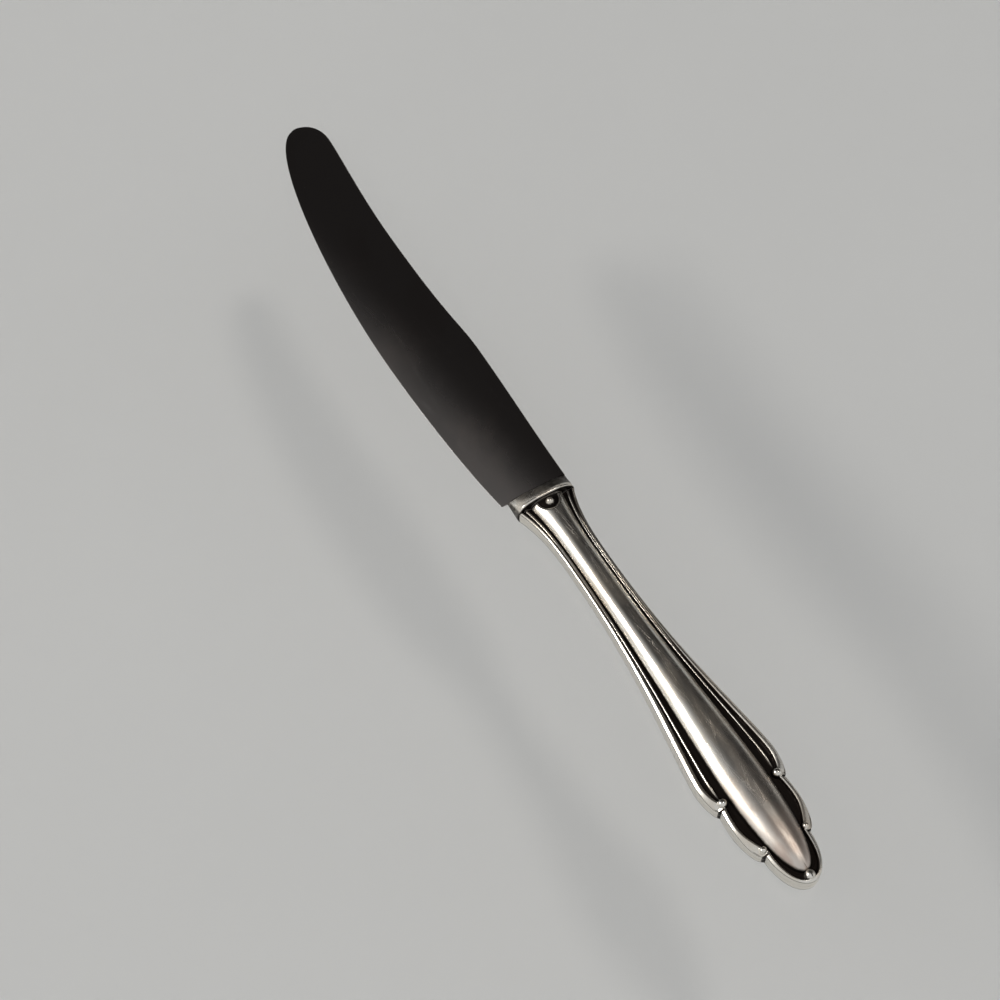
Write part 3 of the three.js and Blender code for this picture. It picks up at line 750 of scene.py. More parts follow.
@dataclass(frozen=True)
class MouthCap:
    """Cap between the handle and the blade, with a ridge, a roof that slopes to the blade and a slot."""

    back: float
    length: float
    front_half_width: float
    ridge_half_height: float
    back_half_width: float = 7.75
    back_half_height: float = 4.25
    ridge_place: float = 0.5
    ridge_half_width: float = 7.9
    front_half_height: float = 1.6
    flat_half_width: float = 2.0
    slope_power: float = 1.12
    corner_power: float = 2.2
    front_round: float = 0.2
    slot_half_width: float = 2.8
    slot_half_height: float = 1.1
    slot_power: float = 8.0
    slot_border: float = 0.05
    corner_steps: int = 40
    joint_reach: float = 0.25
    front_reach: float = 0.5
    painted_shade: float = 0.68
    shade_along: Pair = (0.3, 0.9)
    shade_across: Pair = (-3.5, -1.0)
    shade_sides: Pair = (6.9, 7.6)

    @classmethod
    def from_frame(cls) -> "MouthCap":
        """Takes the ends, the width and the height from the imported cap."""
        low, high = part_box("mouth_cap")
        return cls(
            back=(low.x - PLACE.butt) / MM,
            length=(high.x - low.x) / MM,
            front_half_width=high.y / MM,
            ridge_half_height=(high.z - PLACE.middle) / MM,
        )

    def ring(self, x: Array, half: Array | float, height: Array | float, flat: float, power: float) -> Array:
        """Closed rings round the handle's axis.

        Args:
            x: Place of each ring from the cap's back.
            half: Half width of each.
            height: Half height of each.
            flat: Half width of the flat above and below.
            power: Power of the superellipse at the corners.

        Returns:
            Points of the rings, a row each, from the edge side over the top.
        """
        half, height = (np.broadcast_to(size, x.shape)[:, None] for size in (half, height))
        angle = (np.arange(self.corner_steps) + 0.5) / self.corner_steps * np.pi / 2.0
        across = lerp(flat, half, np.cos(angle) ** (2.0 / power))
        up = height * np.sin(angle) ** (2.0 / power)
        y = np.concatenate([across, -across[:, ::-1], -across, across[:, ::-1]], 1)
        z = np.concatenate([up, up[:, ::-1], -up, -up[:, ::-1]], 1)
        return np.stack([np.broadcast_to(x[:, None], y.shape), y, z], 2)

    def profile(self) -> tuple[Array, Array, Array]:
        """Place, half width and half height of the outer rings: a collar, a roof and a round lip."""
        swell = np.concatenate([[0.0, 0.03], np.linspace(0.1, 1.0, 10)])
        slope = np.linspace(0.0, 1.0, 30)[1:]
        lip = np.linspace(0.0, 1.0, 6)[1:]
        drop = self.front_round * (1.0 - bulge(1.0 - lip))
        place = [
            swell * self.ridge_place,
            lerp(self.ridge_place, self.length - self.front_round, slope),
            self.length - self.front_round * (1.0 - lip),
        ]
        half = [
            lerp(self.back_half_width, self.ridge_half_width, bulge(swell)),
            lerp(self.ridge_half_width, self.front_half_width, slope),
            self.front_half_width - drop,
        ]
        height = [
            lerp(self.back_half_height, self.ridge_half_height, bulge(swell)),
            lerp(self.ridge_half_height, self.front_half_height, slope**self.slope_power),
            self.front_half_height - drop,
        ]
        return np.concatenate(place), np.concatenate(half), np.concatenate(height)

    def joints_and_painted_shade(self, x: Array, y: Array) -> Array:
        """Where the cap is darkened: dark joints at the handle and at the blade, and painted shade on the
        roof away from the edge and on both ends.
        """
        joint = 1.0 - share(x, 0.0, self.joint_reach)
        front = share(x, self.length - self.front_reach, self.length)
        start, end = (self.ridge_place + reach for reach in self.shade_along)
        # Painted shade on the roof away from the edge and on both ends.
        roof = self.painted_shade * share(x, start, end) * share(-y, *self.shade_across)
        side = self.painted_shade * share(np.abs(y), *self.shade_sides)
        return np.maximum.reduce([joint, front, roof, side])

    def build(self) -> bpy.types.Object:
        """Makes the cap with its groove mask: rings over ridge and roof, then back through the slot."""
        outer = self.ring(*self.profile(), self.flat_half_width, self.corner_power)
        ends = np.array([self.length, self.length - self.slot_border, self.slot_border, 0.0])
        slot = self.ring(ends, self.slot_half_width, self.slot_half_height, 0.0, self.slot_power)
        rings = np.concatenate([outer, slot])
        index = np.arange(rings.size // 3).reshape(rings.shape[:2])
        index = np.concatenate([index, index[:1]])
        solid = Solid((rings + np.array([self.back, 0.0, 0.0])).reshape(-1, 3))
        solid.grid(np.concatenate([index, index[:, :1]], 1)[:, ::-1])
        obj = solid.to_object("end_cap", sharp=50.0)
        store_mask(obj, "recess", self.joints_and_painted_shade(rings[:, :, 0], rings[:, :, 1]))
        return obj


@dataclass(frozen=True)
class BladeCorner:
    """Point that the blade's outline passes smoothly: its place, its way and its reach before and after."""

    at: Pair
    way: Pair
    reach: Pair


@dataclass(frozen=True)
class Blade:
    """Round-tipped blade with flat ground sides and a notched tang, in millimetres from the heel."""

    heel: float
    length: float
    tang_length: float
    spine: tuple[BladeCorner, ...]
    edge: tuple[BladeCorner, ...]
    heel_half_thickness: float = 1.2
    slope_along: float = 0.0043406
    spine_round: float = 0.45
    edge_round: float = 0.05
    edge_half_thickness: float = 0.03
    round_share: float = 0.3
    swell: float = 0.22
    fine_tip: float = 24.0
    tip_gap: float = 0.002
    tang_half_thickness: float = 0.8
    tang_half_widths: Pair = (2.5, 1.5)
    tang_notches: int = 3
    tang_notch_depth: float = 0.5
    tang_notch_width: float = 2.0
    tang_round: float = 0.15

    @classmethod
    def from_frame(cls) -> "Blade":
        """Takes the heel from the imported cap's front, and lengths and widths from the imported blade."""
        low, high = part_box("blade")
        heel = (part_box("mouth_cap")[1].x - PLACE.butt) / MM
        length = (high.x - PLACE.butt) / MM - heel
        peak, belly = -low.y / MM, high.y / MM
        tip = BladeCorner((length, -2.4), (0.0, 1.0), (5.0, 9.2))
        spine = (
            BladeCorner((0.0, -8.0), (1.0, 0.0), (0.0, 14.5)),
            BladeCorner((43.0, -8.8), (1.0, 0.0), (14.0, 9.0)),
            BladeCorner((length - 46.0, -7.1), (1.0, 0.0), (30.0, 17.0)),
            BladeCorner((length - 7.6, -peak), (1.0, 0.0), (6.5, 3.2)),
            tip,
        )
        edge = (
            tip,
            BladeCorner((53.5, belly), (-1.0, 0.0), (30.0, 18.0)),
            BladeCorner((0.0, 9.6), (-1.0, -0.17), (13.0, 0.0)),
        )
        return cls(heel, length, heel - (low.x - PLACE.butt) / MM, spine, edge)

    @staticmethod
    def trace(corners: tuple[BladeCorner, ...]) -> Array:
        """Points of the cubic Bezier curves through the corners, a row each."""
        t = np.linspace(0.0, 1.0, 160)[:, None]
        pieces = []
        for start, end in zip(corners[:-1], corners[1:]):
            a, d = np.array(start.at), np.array(end.at)
            b = a + start.reach[1] * np.array(start.way)
            c = d - end.reach[0] * np.array(end.way)
            pieces.append((1 - t) ** 3 * a + 3 * (1 - t) ** 2 * t * b + 3 * (1 - t) * t**2 * c + t**3 * d)
        return np.concatenate(pieces)

    def across(self, width: Array, spine_round: float, edge_round: float) -> tuple[Array, Array]:
        """Places across each section, closest at its rounded sides.

        Args:
            width: Width of each section.
            spine_round: Reach of the rounding at the spine.
            edge_round: Reach of the rounding at the edge.

        Returns:
            Distances from the spine and from the edge, a row for each section.
        """
        near = 1.0 - np.cos(np.linspace(0.0, np.pi / 2.0, 9))
        first = near * np.minimum(spine_round, self.round_share * width)[:, None]
        last = near * np.minimum(edge_round, self.round_share * width)[:, None]
        t = np.linspace(0.0, 1.0, 26)[1:-1]
        between = lerp(first[:, -1:], width[:, None] - last[:, -1:], t)
        from_spine = np.concatenate([first, between, width[:, None] - last[:, ::-1]], 1)
        return from_spine, width[:, None] - from_spine

    def blade_sections(self) -> tuple[Array, Array, Array]:
        """Sections from the heel to the tip.

        Returns:
            Place, distance across and half thickness of each point: a straight taper from the spine to
            the edge with a slight swell, times quarter circles over the true distance from both.
        """
        fine = self.length - self.fine_tip
        x = np.concatenate([
            np.linspace(0.0, fine, 120),
            closing(self.length, fine, 90)[::-1][1:-1],
            [self.length - self.tip_gap],
        ])
        back, front = self.trace(self.spine), self.trace(self.edge)[::-1]
        spine = np.interp(x, back[:, 0], back[:, 1])
        edge = np.interp(x, front[:, 0], front[:, 1])
        from_spine, from_edge = self.across(edge - spine, self.spine_round, self.edge_round)
        y = spine[:, None] + from_spine
        steep_spine = np.hypot(1.0, np.gradient(spine, x))[:, None]
        steep_edge = np.hypot(1.0, np.gradient(edge, x))[:, None]
        back_half = self.heel_half_thickness - self.slope_along * x[:, None]
        way = from_spine / (from_spine + from_edge)
        half = lerp(back_half, self.edge_half_thickness, way) + self.swell * 4.0 * way * (1.0 - way)
        half = half * bulge(share(from_spine / steep_spine, 0.0, self.spine_round))
        half = half * bulge(share(from_edge / steep_edge, 0.0, self.edge_round))
        return np.broadcast_to(x[:, None], y.shape), y, half

    def tang_sections(self) -> tuple[Array, Array, Array]:
        """Sections of the tang from its end to the heel: a tapered bar with notches for the cement."""
        x = np.linspace(-self.tang_length, 0.0, 111)
        root, end = self.tang_half_widths
        pitch = self.tang_length / (self.tang_notches + 2)
        middles = -pitch * np.arange(2, self.tang_notches + 2)
        away = np.abs(x[:, None] - middles).min(1)
        notch = self.tang_notch_depth * (1.0 - share(away, 0.0, self.tang_notch_width / 2.0))
        half_width = lerp(root, end, -x / self.tang_length) - notch
        from_spine, from_edge = self.across(2.0 * half_width, self.tang_round, self.tang_round)
        inward = np.minimum(from_spine, from_edge)
        half = self.tang_half_thickness * bulge(share(inward, 0.0, self.tang_round))
        return np.broadcast_to(x[:, None], from_spine.shape), from_spine - half_width[:, None], half

    def build(self) -> bpy.types.Object:
        """Makes the blade and its tang: closed sections, front and back, carried from the tang to the tip."""
        x, y, half = (np.concatenate(pair) for pair in zip(self.tang_sections(), self.blade_sections()))
        front = np.stack([self.heel + x, y, half], 2)
        back = np.stack([self.heel + x, y, -half], 2)[:, -2:0:-1]
        return Solid.tube(np.concatenate([front, back], 1)).to_object("ground_blade", sharp=35.0)


class Graph:
    """Adds nodes to a tree and links them."""

    def __init__(self, tree: bpy.types.NodeTree) -> None:
        """Takes the tree that it works on."""
        self.tree = tree

    def feed(self, node: Node, inputs: dict[str | int, object]) -> Node:
        """Links a node's inputs, by name or number, to sockets, or sets their values."""
        for key, value in inputs.items():
            if isinstance(value, Socket):
                self.tree.links.new(value, node.inputs[key])
            else:
                node.inputs[key].default_value = value
        return node

    def add(self, kind: str, inputs: dict[str | int, object] | None = None, **settings: object) -> Node:
        """Adds a node of a kind, gives it its settings and feeds its inputs."""
        node = self.tree.nodes.new(kind)
        for name, value in settings.items():
            setattr(node, name, value)
        return self.feed(node, inputs or {})

    def math(self, operation: str, a: object, b: object = 0.0) -> Socket:
        """Result of a Math node on two values."""
        return self.add("ShaderNodeMath", {0: a, 1: b}, operation=operation).outputs[0]

    def times(self, a: object, b: object) -> Socket:
        """Product of two values."""
        return self.math("MULTIPLY", a, b)

    def total(self, first: object, *terms: tuple[object, float]) -> Socket:
        """Sum of a value and of others times their weights."""
        for value, weight in terms:
            first = self.math("ADD", first, self.times(value, weight))
        return first

    def split(self, vector: object) -> Node:
        """Node whose outputs are the X, Y and Z of a vector."""
        return self.add("ShaderNodeSeparateXYZ", {0: vector})

    def mask(self, name: str) -> Socket:
        """Number that the vertices of a piece keep under a name."""
        return self.add("ShaderNodeAttribute", attribute_name=name).outputs["Fac"]

    def mix(self, factor: object, a: object, b: object) -> Socket:
        """Mix of two colours."""
        first, second = (side if isinstance(side, Socket) else (*side, 1.0) for side in (a, b))
        inputs = {"Factor": factor, 6: first, 7: second}
        return self.add("ShaderNodeMix", inputs, data_type="RGBA").outputs[2]

    def span(self, value: object, low: float, high: float, start: float = 0.0, end: float = 1.0) -> Socket:
        """Smooth step of a value between two limits, spread from a start to an end."""
        inputs = dict(enumerate((value, low, high, start, end)))
        return self.add("ShaderNodeMapRange", inputs, interpolation_type="SMOOTHSTEP").outputs[0]

    def noise(self, vector: object, scale: float, detail: float = 3.0, rough: float = 0.55) -> Socket:
        """Noise of a scale, as a value about a half."""
        inputs = {"Vector": vector, "Scale": scale, "Detail": detail, "Roughness": rough}
        return self.add("ShaderNodeTexNoise", inputs).outputs[0]

    def turned(self, vector: object, turn: float, scale: Triple) -> Socket:
        """Coordinates turned about the upright by an angle in degrees, then stretched."""
        angles = (0.0, 0.0, math.radians(turn))
        turner = self.add("ShaderNodeMapping", {"Vector": vector, "Rotation": angles})
        return self.add("ShaderNodeMapping", {"Vector": turner.outputs[0], "Scale": scale}).outputs[0]

    def group(self, tree: bpy.types.NodeTree, **inputs: object) -> Node:
        """Places a node group with its input values."""
        return self.add("ShaderNodeGroup", inputs, node_tree=tree)

    def bump(self, shader: Node, height: Socket, strength: float, depth: float) -> None:
        """Gives a shader a bump of a strength and a depth in metres."""
        inputs = {"Strength": strength, "Distance": depth, "Height": height}
        self.feed(shader, {"Normal": self.add("ShaderNodeBump", inputs).outputs[0]})


@dataclass(frozen=True)
class Scratches:
    """Fine scratches: layers of stretched noise at different turns, cut to their thin crests, and a grain."""

    layers: tuple[Pair, ...] = ((4.0, 40.0), (-9.0, 60.0), (17.0, 75.0))
    fineness: Pair = (2600.0, 200.0)
    sharpness: float = 60.0
    patch_scale: float = 0.13
    patch_reach: Pair = (0.55, 0.75)
    grain: Triple = (140.0, 5200.0, 5200.0)

    def fill(self, graph: Graph, place: Socket, density: Socket) -> dict[str, Socket]:
        """Makes the lines and the grain; the density brings more lines."""
        shown = []
        for turn, stretch in self.layers:
            vector = graph.turned(place, turn, (stretch, *self.fineness))
            ridge = graph.math("ABSOLUTE", graph.math("SUBTRACT", graph.noise(vector, 1.0, 1.0), 0.5))
            thin = graph.span(graph.times(ridge, self.sharpness), 0.0, 1.0, 1.0, 0.0)
            patch = graph.math("ADD", graph.noise(vector, self.patch_scale, 1.0), density)
            shown.append(graph.times(thin, graph.span(patch, *self.patch_reach)))
        lines = shown[0]
        for layer in shown[1:]:
            lines = graph.math("MAXIMUM", lines, layer)
        return {"Lines": lines, "Grain": graph.noise(graph.turned(place, 0.0, self.grain), 1.0, 2.0)}


@dataclass(frozen=True)
class TarnishAndShade:
    """Patina and painted shade: dark where the groove mask is high, with a ragged border, and a faint cloudy
    film elsewhere.
    """

    ragged_scale: float = 900.0
    ragged: float = 0.3
    dark_reach: Pair = (0.2, 0.8)
    film_stretch: Triple = (90.0, 260.0, 260.0)
    film_reach: Pair = (0.35, 0.7)

    def fill(self, graph: Graph, place: Socket, recess: Socket) -> dict[str, Socket]:
        """Makes the dark part from the groove mask, and the film."""
        rough = graph.math("SUBTRACT", graph.noise(place, self.ragged_scale, 4.0), 0.5)
        depth = graph.math("ADD", recess, graph.times(rough, self.ragged))
        dark = graph.span(depth, *self.dark_reach)
        cloud = graph.noise(graph.turned(place, 0.0, self.film_stretch), 1.0, 4.0, 0.6)
        return {"Dark": dark, "Film": graph.span(cloud, *self.film_reach)}


@dataclass(frozen=True)
class Smudges:
    """Smudges: broad wiped haze with finer blotches in it."""

    turn: float = 25.0
    stretch: Triple = (45.0, 110.0, 110.0)
    wipe_reach: Pair = (0.4, 0.7)
    blotch_scale: float = 420.0
    blotch_reach: Pair = (0.3, 0.7)
    blotch_values: Pair = (0.5, 1.0)

    def fill(self, graph: Graph, place: Socket) -> dict[str, Socket]:
        """Makes the haze."""
        broad = graph.noise(graph.turned(place, self.turn, self.stretch), 1.0, 3.0)
        fine = graph.noise(place, self.blotch_scale, 4.0, 0.65)
        blotch = graph.span(fine, *self.blotch_reach, *self.blotch_values)
        return {"Haze": graph.times(graph.span(broad, *self.wipe_reach), blotch)}


class Effects:
    """Node groups that several finishes share."""

    def __init__(self) -> None:
        """Builds each group once."""
        self.scratches = self.group("fine_scratches", Scratches().fill, "Density")
        self.tarnish_and_shade = self.group("tarnish_and_shade", TarnishAndShade().fill, "Recess")
        self.smudges = self.group("smudges", Smudges().fill)

    @staticmethod
    def group(name: str, fill: Callable[..., dict[str, Socket]], *numbers: str) -> bpy.types.NodeTree:
        """Makes a group.

        Args:
            name: Name of the group.
            fill: What adds its nodes, given its graph, its coordinates and its numbers.
            numbers: Names of its number inputs, after its Vector.

        Returns:
            The group's tree, with an output for each number that the filling returned.
        """
        tree = bpy.data.node_groups.new(name, "ShaderNodeTree")
        tree.interface.new_socket("Vector", in_out="INPUT", socket_type="NodeSocketVector")
        for number in numbers:
            tree.interface.new_socket(number, in_out="INPUT", socket_type="NodeSocketFloat")
        graph = Graph(tree)
        given = graph.add("NodeGroupInput").outputs
        results = fill(graph, given["Vector"], *(given[number] for number in numbers))
        for result in results:
            tree.interface.new_socket(result, in_out="OUTPUT", socket_type="NodeSocketFloat")
        graph.add("NodeGroupOutput", results)
        return tree


def start_material(name: str) -> tuple[bpy.types.Material, Graph, Node, Socket]:
    """Makes a material with its shader.

    Args:
        name: Name of the material.

    Returns:
        The material, its graph, its Principled shader and its Object coordinates.
    """
    material = bpy.data.materials.new(name)
    material.use_nodes = True
    graph = Graph(material.node_tree)
    shader = material.node_tree.nodes["Principled BSDF"]
    place = graph.add("ShaderNodeTexCoord").outputs["Object"]
    return material, graph, shader, place


@dataclass(frozen=True)
class SilverFinish:
    """Polished silver with patina and painted shade in its grooves, a warm film on level faces that leaves
    steep walls paler as painted light, and fine handling scratches.
    """

    bright: Colour = (0.83, 0.795, 0.73)
    warm: Colour = (0.64, 0.545, 0.435)
    rosy: Colour = (0.52, 0.42, 0.365)
    black: Colour = (0.016, 0.012, 0.010)
    polish: float = 0.2
    dullness: float = 0.12
    butt_reach: Pair = (-0.03, 0.012)
    butt_wear: float = 0.13
    level_reach: Pair = (0.1, 0.5)
    joint_recess: float = 0.25
    film_share: float = 0.7
    butt_cloud: float = 0.5
    haze_rough: float = 0.1
    line_rough: float = 0.12
    dark_rough: float = 0.25
    butt_rough: float = 0.12
    dent_scale: float = 260.0
    dent_depth: float = 3.0
    grain_depth: float = 0.35
    cut_depth: float = 2.0
    bump_strength: float = 0.35

    def material(self, effects: Effects, masked: bool) -> bpy.types.Material:
        """Makes the material.

        Args:
            effects: The shared node groups.
            masked: Whether the piece has a groove mask.

        Returns:
            The material.
        """
        material, graph, shader, place = start_material("silver_grooved" if masked else "silver_joint")
        recess = graph.mask("recess") if masked else self.joint_recess
        tarnish_and_shade = graph.group(effects.tarnish_and_shade, Vector=place, Recess=recess).outputs
        haze = graph.group(effects.smudges, Vector=place).outputs["Haze"]
        normal = graph.split(graph.add("ShaderNodeNewGeometry").outputs["Normal"])
        # The warm film is held to level faces, so steep walls keep the bright colour: a painted paler
        # reflection on the walls.
        level = graph.span(graph.math("ABSOLUTE", normal.outputs["Z"]), *self.level_reach)
        film = graph.times(tarnish_and_shade["Film"], level)
        butt = graph.span(graph.split(place).outputs["X"], *self.butt_reach, 1.0, 0.0)
        butt = graph.times(butt, graph.mask("panel"))
        density = graph.times(butt, self.butt_wear)
        wear = graph.group(effects.scratches, Vector=place, Density=density).outputs
        tone = graph.mix(graph.times(film, self.film_share), self.bright, self.warm)
        cloud = graph.math("ADD", graph.times(film, self.butt_cloud), 1.0 - self.butt_cloud)
        tone = graph.mix(graph.times(butt, cloud), tone, self.rosy)
        rough = graph.total(
            self.polish,
            (haze, self.haze_rough),
            (wear["Lines"], self.line_rough),
            (tarnish_and_shade["Dark"], self.dark_rough),
            (butt, self.butt_rough),
        )
        # Base colour turns black with the groove mask: patina in the grooves, and painted shade on flanks,
        # the panel's foot, the notches, creases and the cap's roof and sides.
        graph.feed(shader, {
            "Base Color": graph.mix(tarnish_and_shade["Dark"], tone, self.black),
            "Roughness": rough,
            "Metallic": graph.math("SUBTRACT", 1.0, graph.times(film, self.dullness)),
        })
        dents = graph.times(graph.noise(place, self.dent_scale, 2.0), self.dent_depth)
        height = graph.total(dents, (wear["Grain"], self.grain_depth))
        cuts = graph.times(wear["Lines"], self.cut_depth)
        graph.bump(shader, graph.math("SUBTRACT", height, cuts), self.bump_strength, FINE_BUMP)
        return material


@dataclass(frozen=True)
class SteelFinish:
    """Polished blade steel with grinding lines, wiping scratches and smudges."""

    bare: Colour = (0.42, 0.395, 0.385)
    smudged: Colour = (0.37, 0.335, 0.32)
    polish: float = 0.07
    worn: float = 0.34
    worn_slant: float = 0.14
    worn_reach: Pair = (-0.0246, -0.0036)
    fewer_lines: float = -0.03
    haze_rough: float = 0.05
    line_rough: float = 0.1
    wave_scale: float = 60.0
    wave_depth: float = 4.0
    ground_turn: float = 8.0
    ground_stretch: Triple = (4200.0, 70.0, 70.0)
    ground_depth: float = 0.3
    bump_strength: float = 0.2

    def material(self, effects: Effects) -> bpy.types.Material:
        """Makes the material from the shared groups."""
        material, graph, shader, place = start_material("blade_steel")
        wear = graph.group(effects.scratches, Vector=place, Density=self.fewer_lines)
        lines = wear.outputs["Lines"]
        haze = graph.group(effects.smudges, Vector=place).outputs["Haze"]
        at = graph.split(place).outputs
        to_edge = graph.math("SUBTRACT", at["Y"], graph.times(at["X"], self.worn_slant))
        worn = graph.span(to_edge, *self.worn_reach, self.polish, self.worn)
        graph.feed(shader, {
            "Base Color": graph.mix(haze, self.bare, self.smudged),
            "Roughness": graph.total(worn, (haze, self.haze_rough), (lines, self.line_rough)),
            "Metallic": 1.0,
        })
        waves = graph.times(graph.noise(place, self.wave_scale, 1.0), self.wave_depth)
        ground = graph.noise(graph.turned(place, self.ground_turn, self.ground_stretch), 1.0, 2.0)
        height = graph.total(waves, (ground, self.ground_depth))
        graph.bump(shader, graph.math("SUBTRACT", height, lines), self.bump_strength, FINE_BUMP)
        return material


@dataclass(frozen=True)
class CementFinish:
    """Dull set cement with grains and pores."""

    pale: Colour = (0.46, 0.39, 0.31)
    dark: Colour = (0.33, 0.27, 0.21)
    grain_scale: float = 2400.0
    grain_reach: Pair = (0.2, 0.8)
    rough: Pair = (0.75, 0.95)
    bump_strength: float = 0.6
    bump_depth: float = 0.0001

    def material(self, effects: Effects) -> bpy.types.Material:
        """Makes the material from the shared smudges and its own grain."""
        material, graph, shader, place = start_material("set_cement")
        haze = graph.group(effects.smudges, Vector=place).outputs["Haze"]
        grain = graph.noise(place, self.grain_scale, 4.0, 0.7)
        graph.feed(shader, {
            "Base Color": graph.mix(graph.times(grain, haze), self.pale, self.dark),
            "Roughness": graph.span(grain, *self.grain_reach, *self.rough),
        })
        graph.bump(shader, grain, self.bump_strength, self.bump_depth)
        return material


@dataclass(frozen=True)
class Softbox:
    """Large soft lamp, by its direction from the knife in degrees, its distance and its size in metres."""

    name: str
    azimuth: float
    elevation: float
    distance: float
    size: Pair
    power: float
    colour: Colour

    def build(self, aim: Vector) -> None:
        """Hangs the lamp and turns it to the knife."""
        lamp = bpy.data.lights.new(self.name, "AREA")
        lamp.shape = "RECTANGLE"
        lamp.size, lamp.size_y = self.size
        lamp.energy = self.power
        lamp.color = self.colour
        turn, rise = math.radians(self.azimuth), math.radians(self.elevation)
        way = Vector((math.cos(rise) * math.cos(turn), math.cos(rise) * math.sin(turn), math.sin(rise)))
        obj = bpy.data.objects.new(self.name, lamp)
        facing = way.to_track_quat("Z", "Y").to_matrix().to_4x4()
        obj.matrix_world = Matrix.Translation(aim + way * self.distance) @ facing
        obj.visible_camera = False
        bpy.context.scene.collection.objects.link(obj)


@dataclass(frozen=True)
class Studio:
    """Pale floor under a clear sheet, soft lamps, a dim room and the photograph's camera, in metres."""

    drop: float = 0.06
    gap: float = 0.00002
    reach: float = 4.0
    flat_share: float = 0.75
    rise: float = 0.35
    rings: tuple[int, int] = (12, 20)
    spokes: int = 96
    floor: Colour = (0.84, 0.84, 0.83)
    floor_rough: float = 0.8
    mottle: float = 0.96
    mottle_scale: float = 9.0
    sheen: float = 0.15
    index: float = 1.5
    sheet_haze: float = 0.05
    aim: Triple = (0.07, 0.0, 0.0)
    lamps: tuple[Softbox, ...] = (
        Softbox("left_window", 60.0, 25.0, 6.0, (3.0, 2.3), 46.0, (1.0, 0.97, 0.92)),
        Softbox("left_lamp", 62.6, 34.6, 6.0, (1.0, 1.0), 92.0, (1.0, 0.97, 0.91)),
        Softbox("top_lamp", -98.6, 71.3, 6.0, (0.9, 0.9), 32.0, (1.0, 0.96, 0.90)),
    )
    dark_way: Triple = (0.66, -0.52, 0.54)
    dark_reach: Pair = (0.25, 0.84)
    dark: Colour = (0.024, 0.0225, 0.022)
    pale: Colour = (0.600, 0.615, 0.630)
    skyline: Colour = (0.50, 0.50, 0.49)
    skyline_reach: Pair = (0.02, 0.1)
    eye: Triple = (-0.131230, 0.135776, 0.410911)
    right: Triple = (-0.506034, -0.862514, 0.0)
    up: Triple = (0.733942, -0.430601, 0.525273)
    lens: float = 72.0
    sensor: float = 36.0
    clip: Pair = (0.01, 50.0)

    def disc(self, name: str, level: float, rise: float) -> bpy.types.Object:
        """Makes a round sheet whose border curves up.

        Args:
            name: Name of the sheet.
            level: Its height.
            rise: How high its border rises.

        Returns:
            The sheet: level to a share of its reach, then rising as a cosine.
        """
        flat, bent = self.rings
        inner = np.linspace(0.0, self.flat_share, flat)[1:]
        part = np.concatenate([inner, np.linspace(self.flat_share, 1.0, bent)[1:]])[:, None]
        angle = even(0.0, 2.0 * np.pi, self.spokes)
        height = level + rise * (1.0 - np.cos(np.pi / 2.0 * share(part, self.flat_share, 1.0)))
        x, y = self.reach * part * np.cos(angle), self.reach * part * np.sin(angle)
        rings = np.stack([x, y, np.broadcast_to(height, x.shape)], 2)
        index = 1 + np.arange(x.size).reshape(x.shape)
        index = np.concatenate([index, index[:, :1]], 1)
        solid = Solid(np.concatenate([[[0.0, 0.0, level]], rings.reshape(-1, 3)]) / MM)
        solid.grid(index)
        solid.add(np.zeros(len(angle), int), index[0, :-1], index[0, 1:])
        return solid.to_object(name, place=Placement(0.0, 0.0))

    def floor_material(self) -> bpy.types.Material:
        """Pale matt surface with a faint mottle."""
        material, graph, shader, place = start_material("pale_floor")
        mottle = graph.noise(place, self.mottle_scale, 2.0)
        darker = tuple(channel * self.mottle for channel in self.floor)
        colour = graph.mix(mottle, self.floor, darker)
        graph.feed(shader, {"Base Color": colour, "Roughness": self.floor_rough})
        return material

    def sheet_material(self) -> bpy.types.Material:
        """Clear sheet: light passes straight through both ways, with a faint haze and a gloss."""
        material = bpy.data.materials.new("clear_sheet")
        material.use_nodes = True
        graph = Graph(material.node_tree)
        graph.tree.nodes.clear()
        clear = graph.add("ShaderNodeBsdfTransparent").outputs[0]
        haze = graph.add("ShaderNodeBsdfDiffuse", {"Color": (*self.floor, 1.0)}).outputs[0]
        gloss = graph.add("ShaderNodeBsdfGlossy", {"Roughness": self.sheen}).outputs[0]
        below = graph.add("ShaderNodeNewGeometry").outputs["Backfacing"]
        index = graph.span(below, 0.0, 1.0, self.index, 1.0 / self.index)
        mirrored = graph.add("ShaderNodeFresnel", {"IOR": index}).outputs[0]
        body = graph.add("ShaderNodeMixShader", {"Fac": self.sheet_haze, 1: clear, 2: haze}).outputs[0]
        whole = graph.add("ShaderNodeMixShader", {"Fac": mirrored, 1: body, 2: gloss}).outputs[0]
        graph.add("ShaderNodeOutputMaterial", {"Surface": whole})
        return material

    def light_room(self) -> None:
        """Gives the world a dim side, which the blade mirrors, a pale rest and a pale skyline."""
        world = bpy.data.worlds.new("dim_room")
        bpy.context.scene.world = world
        world.use_nodes = True
        graph = Graph(world.node_tree)
        look = graph.add("ShaderNodeTexCoord").outputs["Generated"]
        way = graph.add("ShaderNodeVectorMath", {0: look, 1: self.dark_way}, operation="DOT_PRODUCT")
        room = graph.mix(graph.span(way.outputs["Value"], *self.dark_reach), self.pale, self.dark)
        low = graph.span(graph.split(look).outputs["Z"], *self.skyline_reach, 1.0, 0.0)
        graph.feed(world.node_tree.nodes["Background"], {"Color": graph.mix(low, room, self.skyline)})

    def place_camera(self) -> None:
        """Sets the camera at the photograph's viewing angle."""
        camera = bpy.data.cameras.new("photo_camera")
        camera.lens, camera.sensor_width = self.lens, self.sensor
        camera.clip_start, camera.clip_end = self.clip
        obj = bpy.data.objects.new("photo_camera", camera)
        right, up = Vector(self.right), Vector(self.up)
        turn = Matrix((right, up, right.cross(up))).transposed().to_4x4()
        obj.matrix_world = Matrix.Translation(Vector(self.eye)) @ turn
        bpy.context.scene.collection.objects.link(obj)
        bpy.context.scene.camera = obj

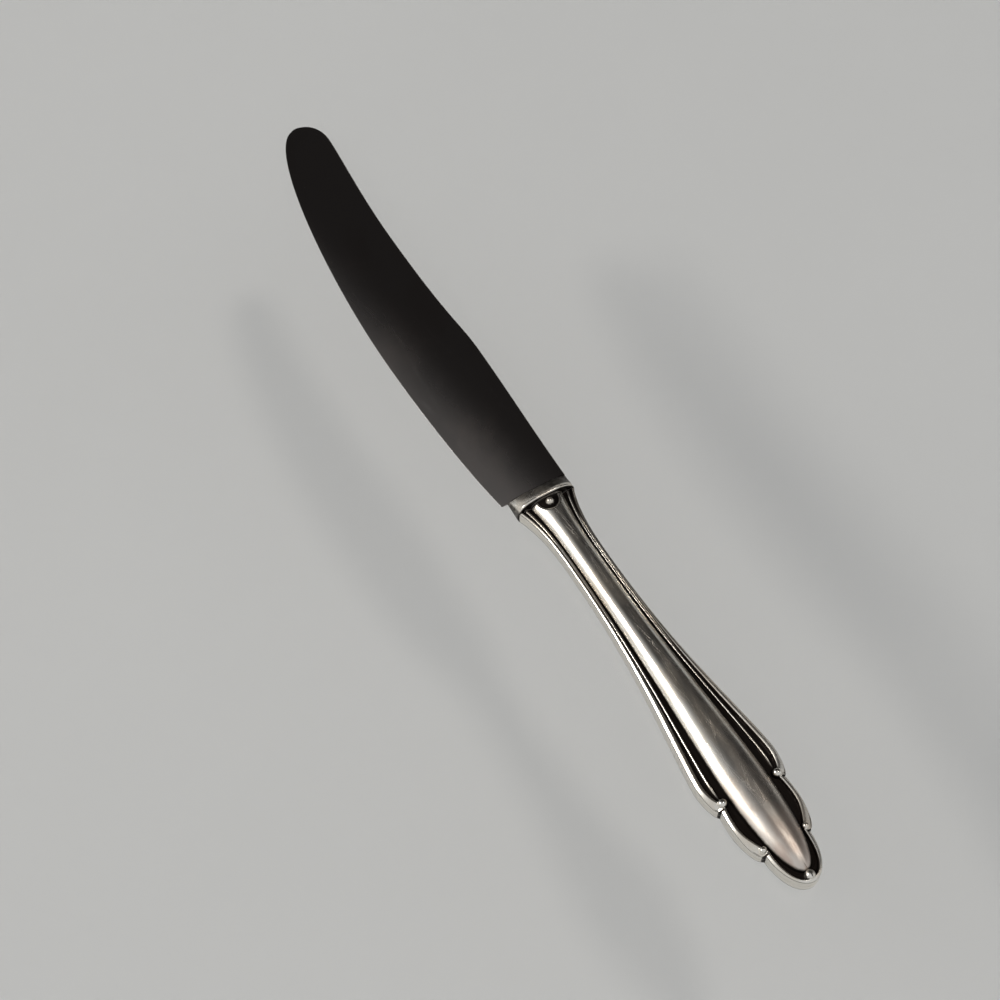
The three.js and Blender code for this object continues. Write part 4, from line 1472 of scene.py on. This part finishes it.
    def build(self) -> None:
        """Makes the floor, the sheet, the lamps, the room and the camera."""
        for name, level, rise, material in (
            ("pale_floor", -self.drop, self.rise, self.floor_material()),
            ("clear_sheet", -self.gap, 0.0, self.sheet_material()),
        ):
            sheet = self.disc(name, level, rise)
            sheet.data.materials.append(material)
        for lamp in self.lamps:
            lamp.build(Vector(self.aim))
        self.light_room()
        self.place_camera()


class Knife:
    """The whole knife: builds each piece, dresses it and sets it in the frame."""

    def __init__(self) -> None:
        """Takes the handle's sizes from the frame and makes the finishes."""
        self.form = HandleForm.from_frame()
        effects = Effects()
        self.silver = SilverFinish().material(effects, masked=True)
        self.joint = SilverFinish(polish=0.3).material(effects, masked=False)
        self.steel = SteelFinish().material(effects)
        self.cement = CementFinish().material(effects)

    def settle(self, obj: bpy.types.Object, node: str, material: bpy.types.Material) -> None:
        """Dresses a piece and lets it stand for its CAD node.

        Args:
            obj: The piece.
            node: The CAD node that it replaces.
            material: The finish.
        """
        obj.data.materials.append(material)
        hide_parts(node)
        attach(obj, BODY)
        LOG.info("%s stands for %s: %d vertices", obj.name, node, len(obj.data.vertices))

    def dress_node(self, node: str, material: bpy.types.Material) -> None:
        """Gives a CAD node that stays its finish."""
        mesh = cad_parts[node].data
        mesh.materials.clear()
        mesh.materials.append(material)
        LOG.info("%s keeps its CAD shape", node)

    def build(self) -> None:
        """Builds the pieces from the handle to the blade."""
        shell = HalfShell(self.form)
        self.settle(shell.build(Side.FRONT), "handle_front_shell", self.silver)
        self.settle(shell.build(Side.BACK), "handle_back_shell", self.silver)
        self.settle(SeamSolder(self.form).build(), "seam_solder", self.joint)
        self.settle(MouthCap.from_frame().build(), "mouth_cap", self.silver)
        self.settle(Blade.from_frame().build(), "blade", self.steel)
        self.dress_node("cap_solder", self.joint)
        self.dress_node("cement_core", self.cement)


def main() -> None:
    """Builds the knife and its studio."""
    logging.basicConfig(level=logging.INFO, format="%(message)s")
    Knife().build()
    Studio().build()
    bpy.context.scene.view_settings.view_transform = "Standard"


if __name__ == "__main__":
    main()
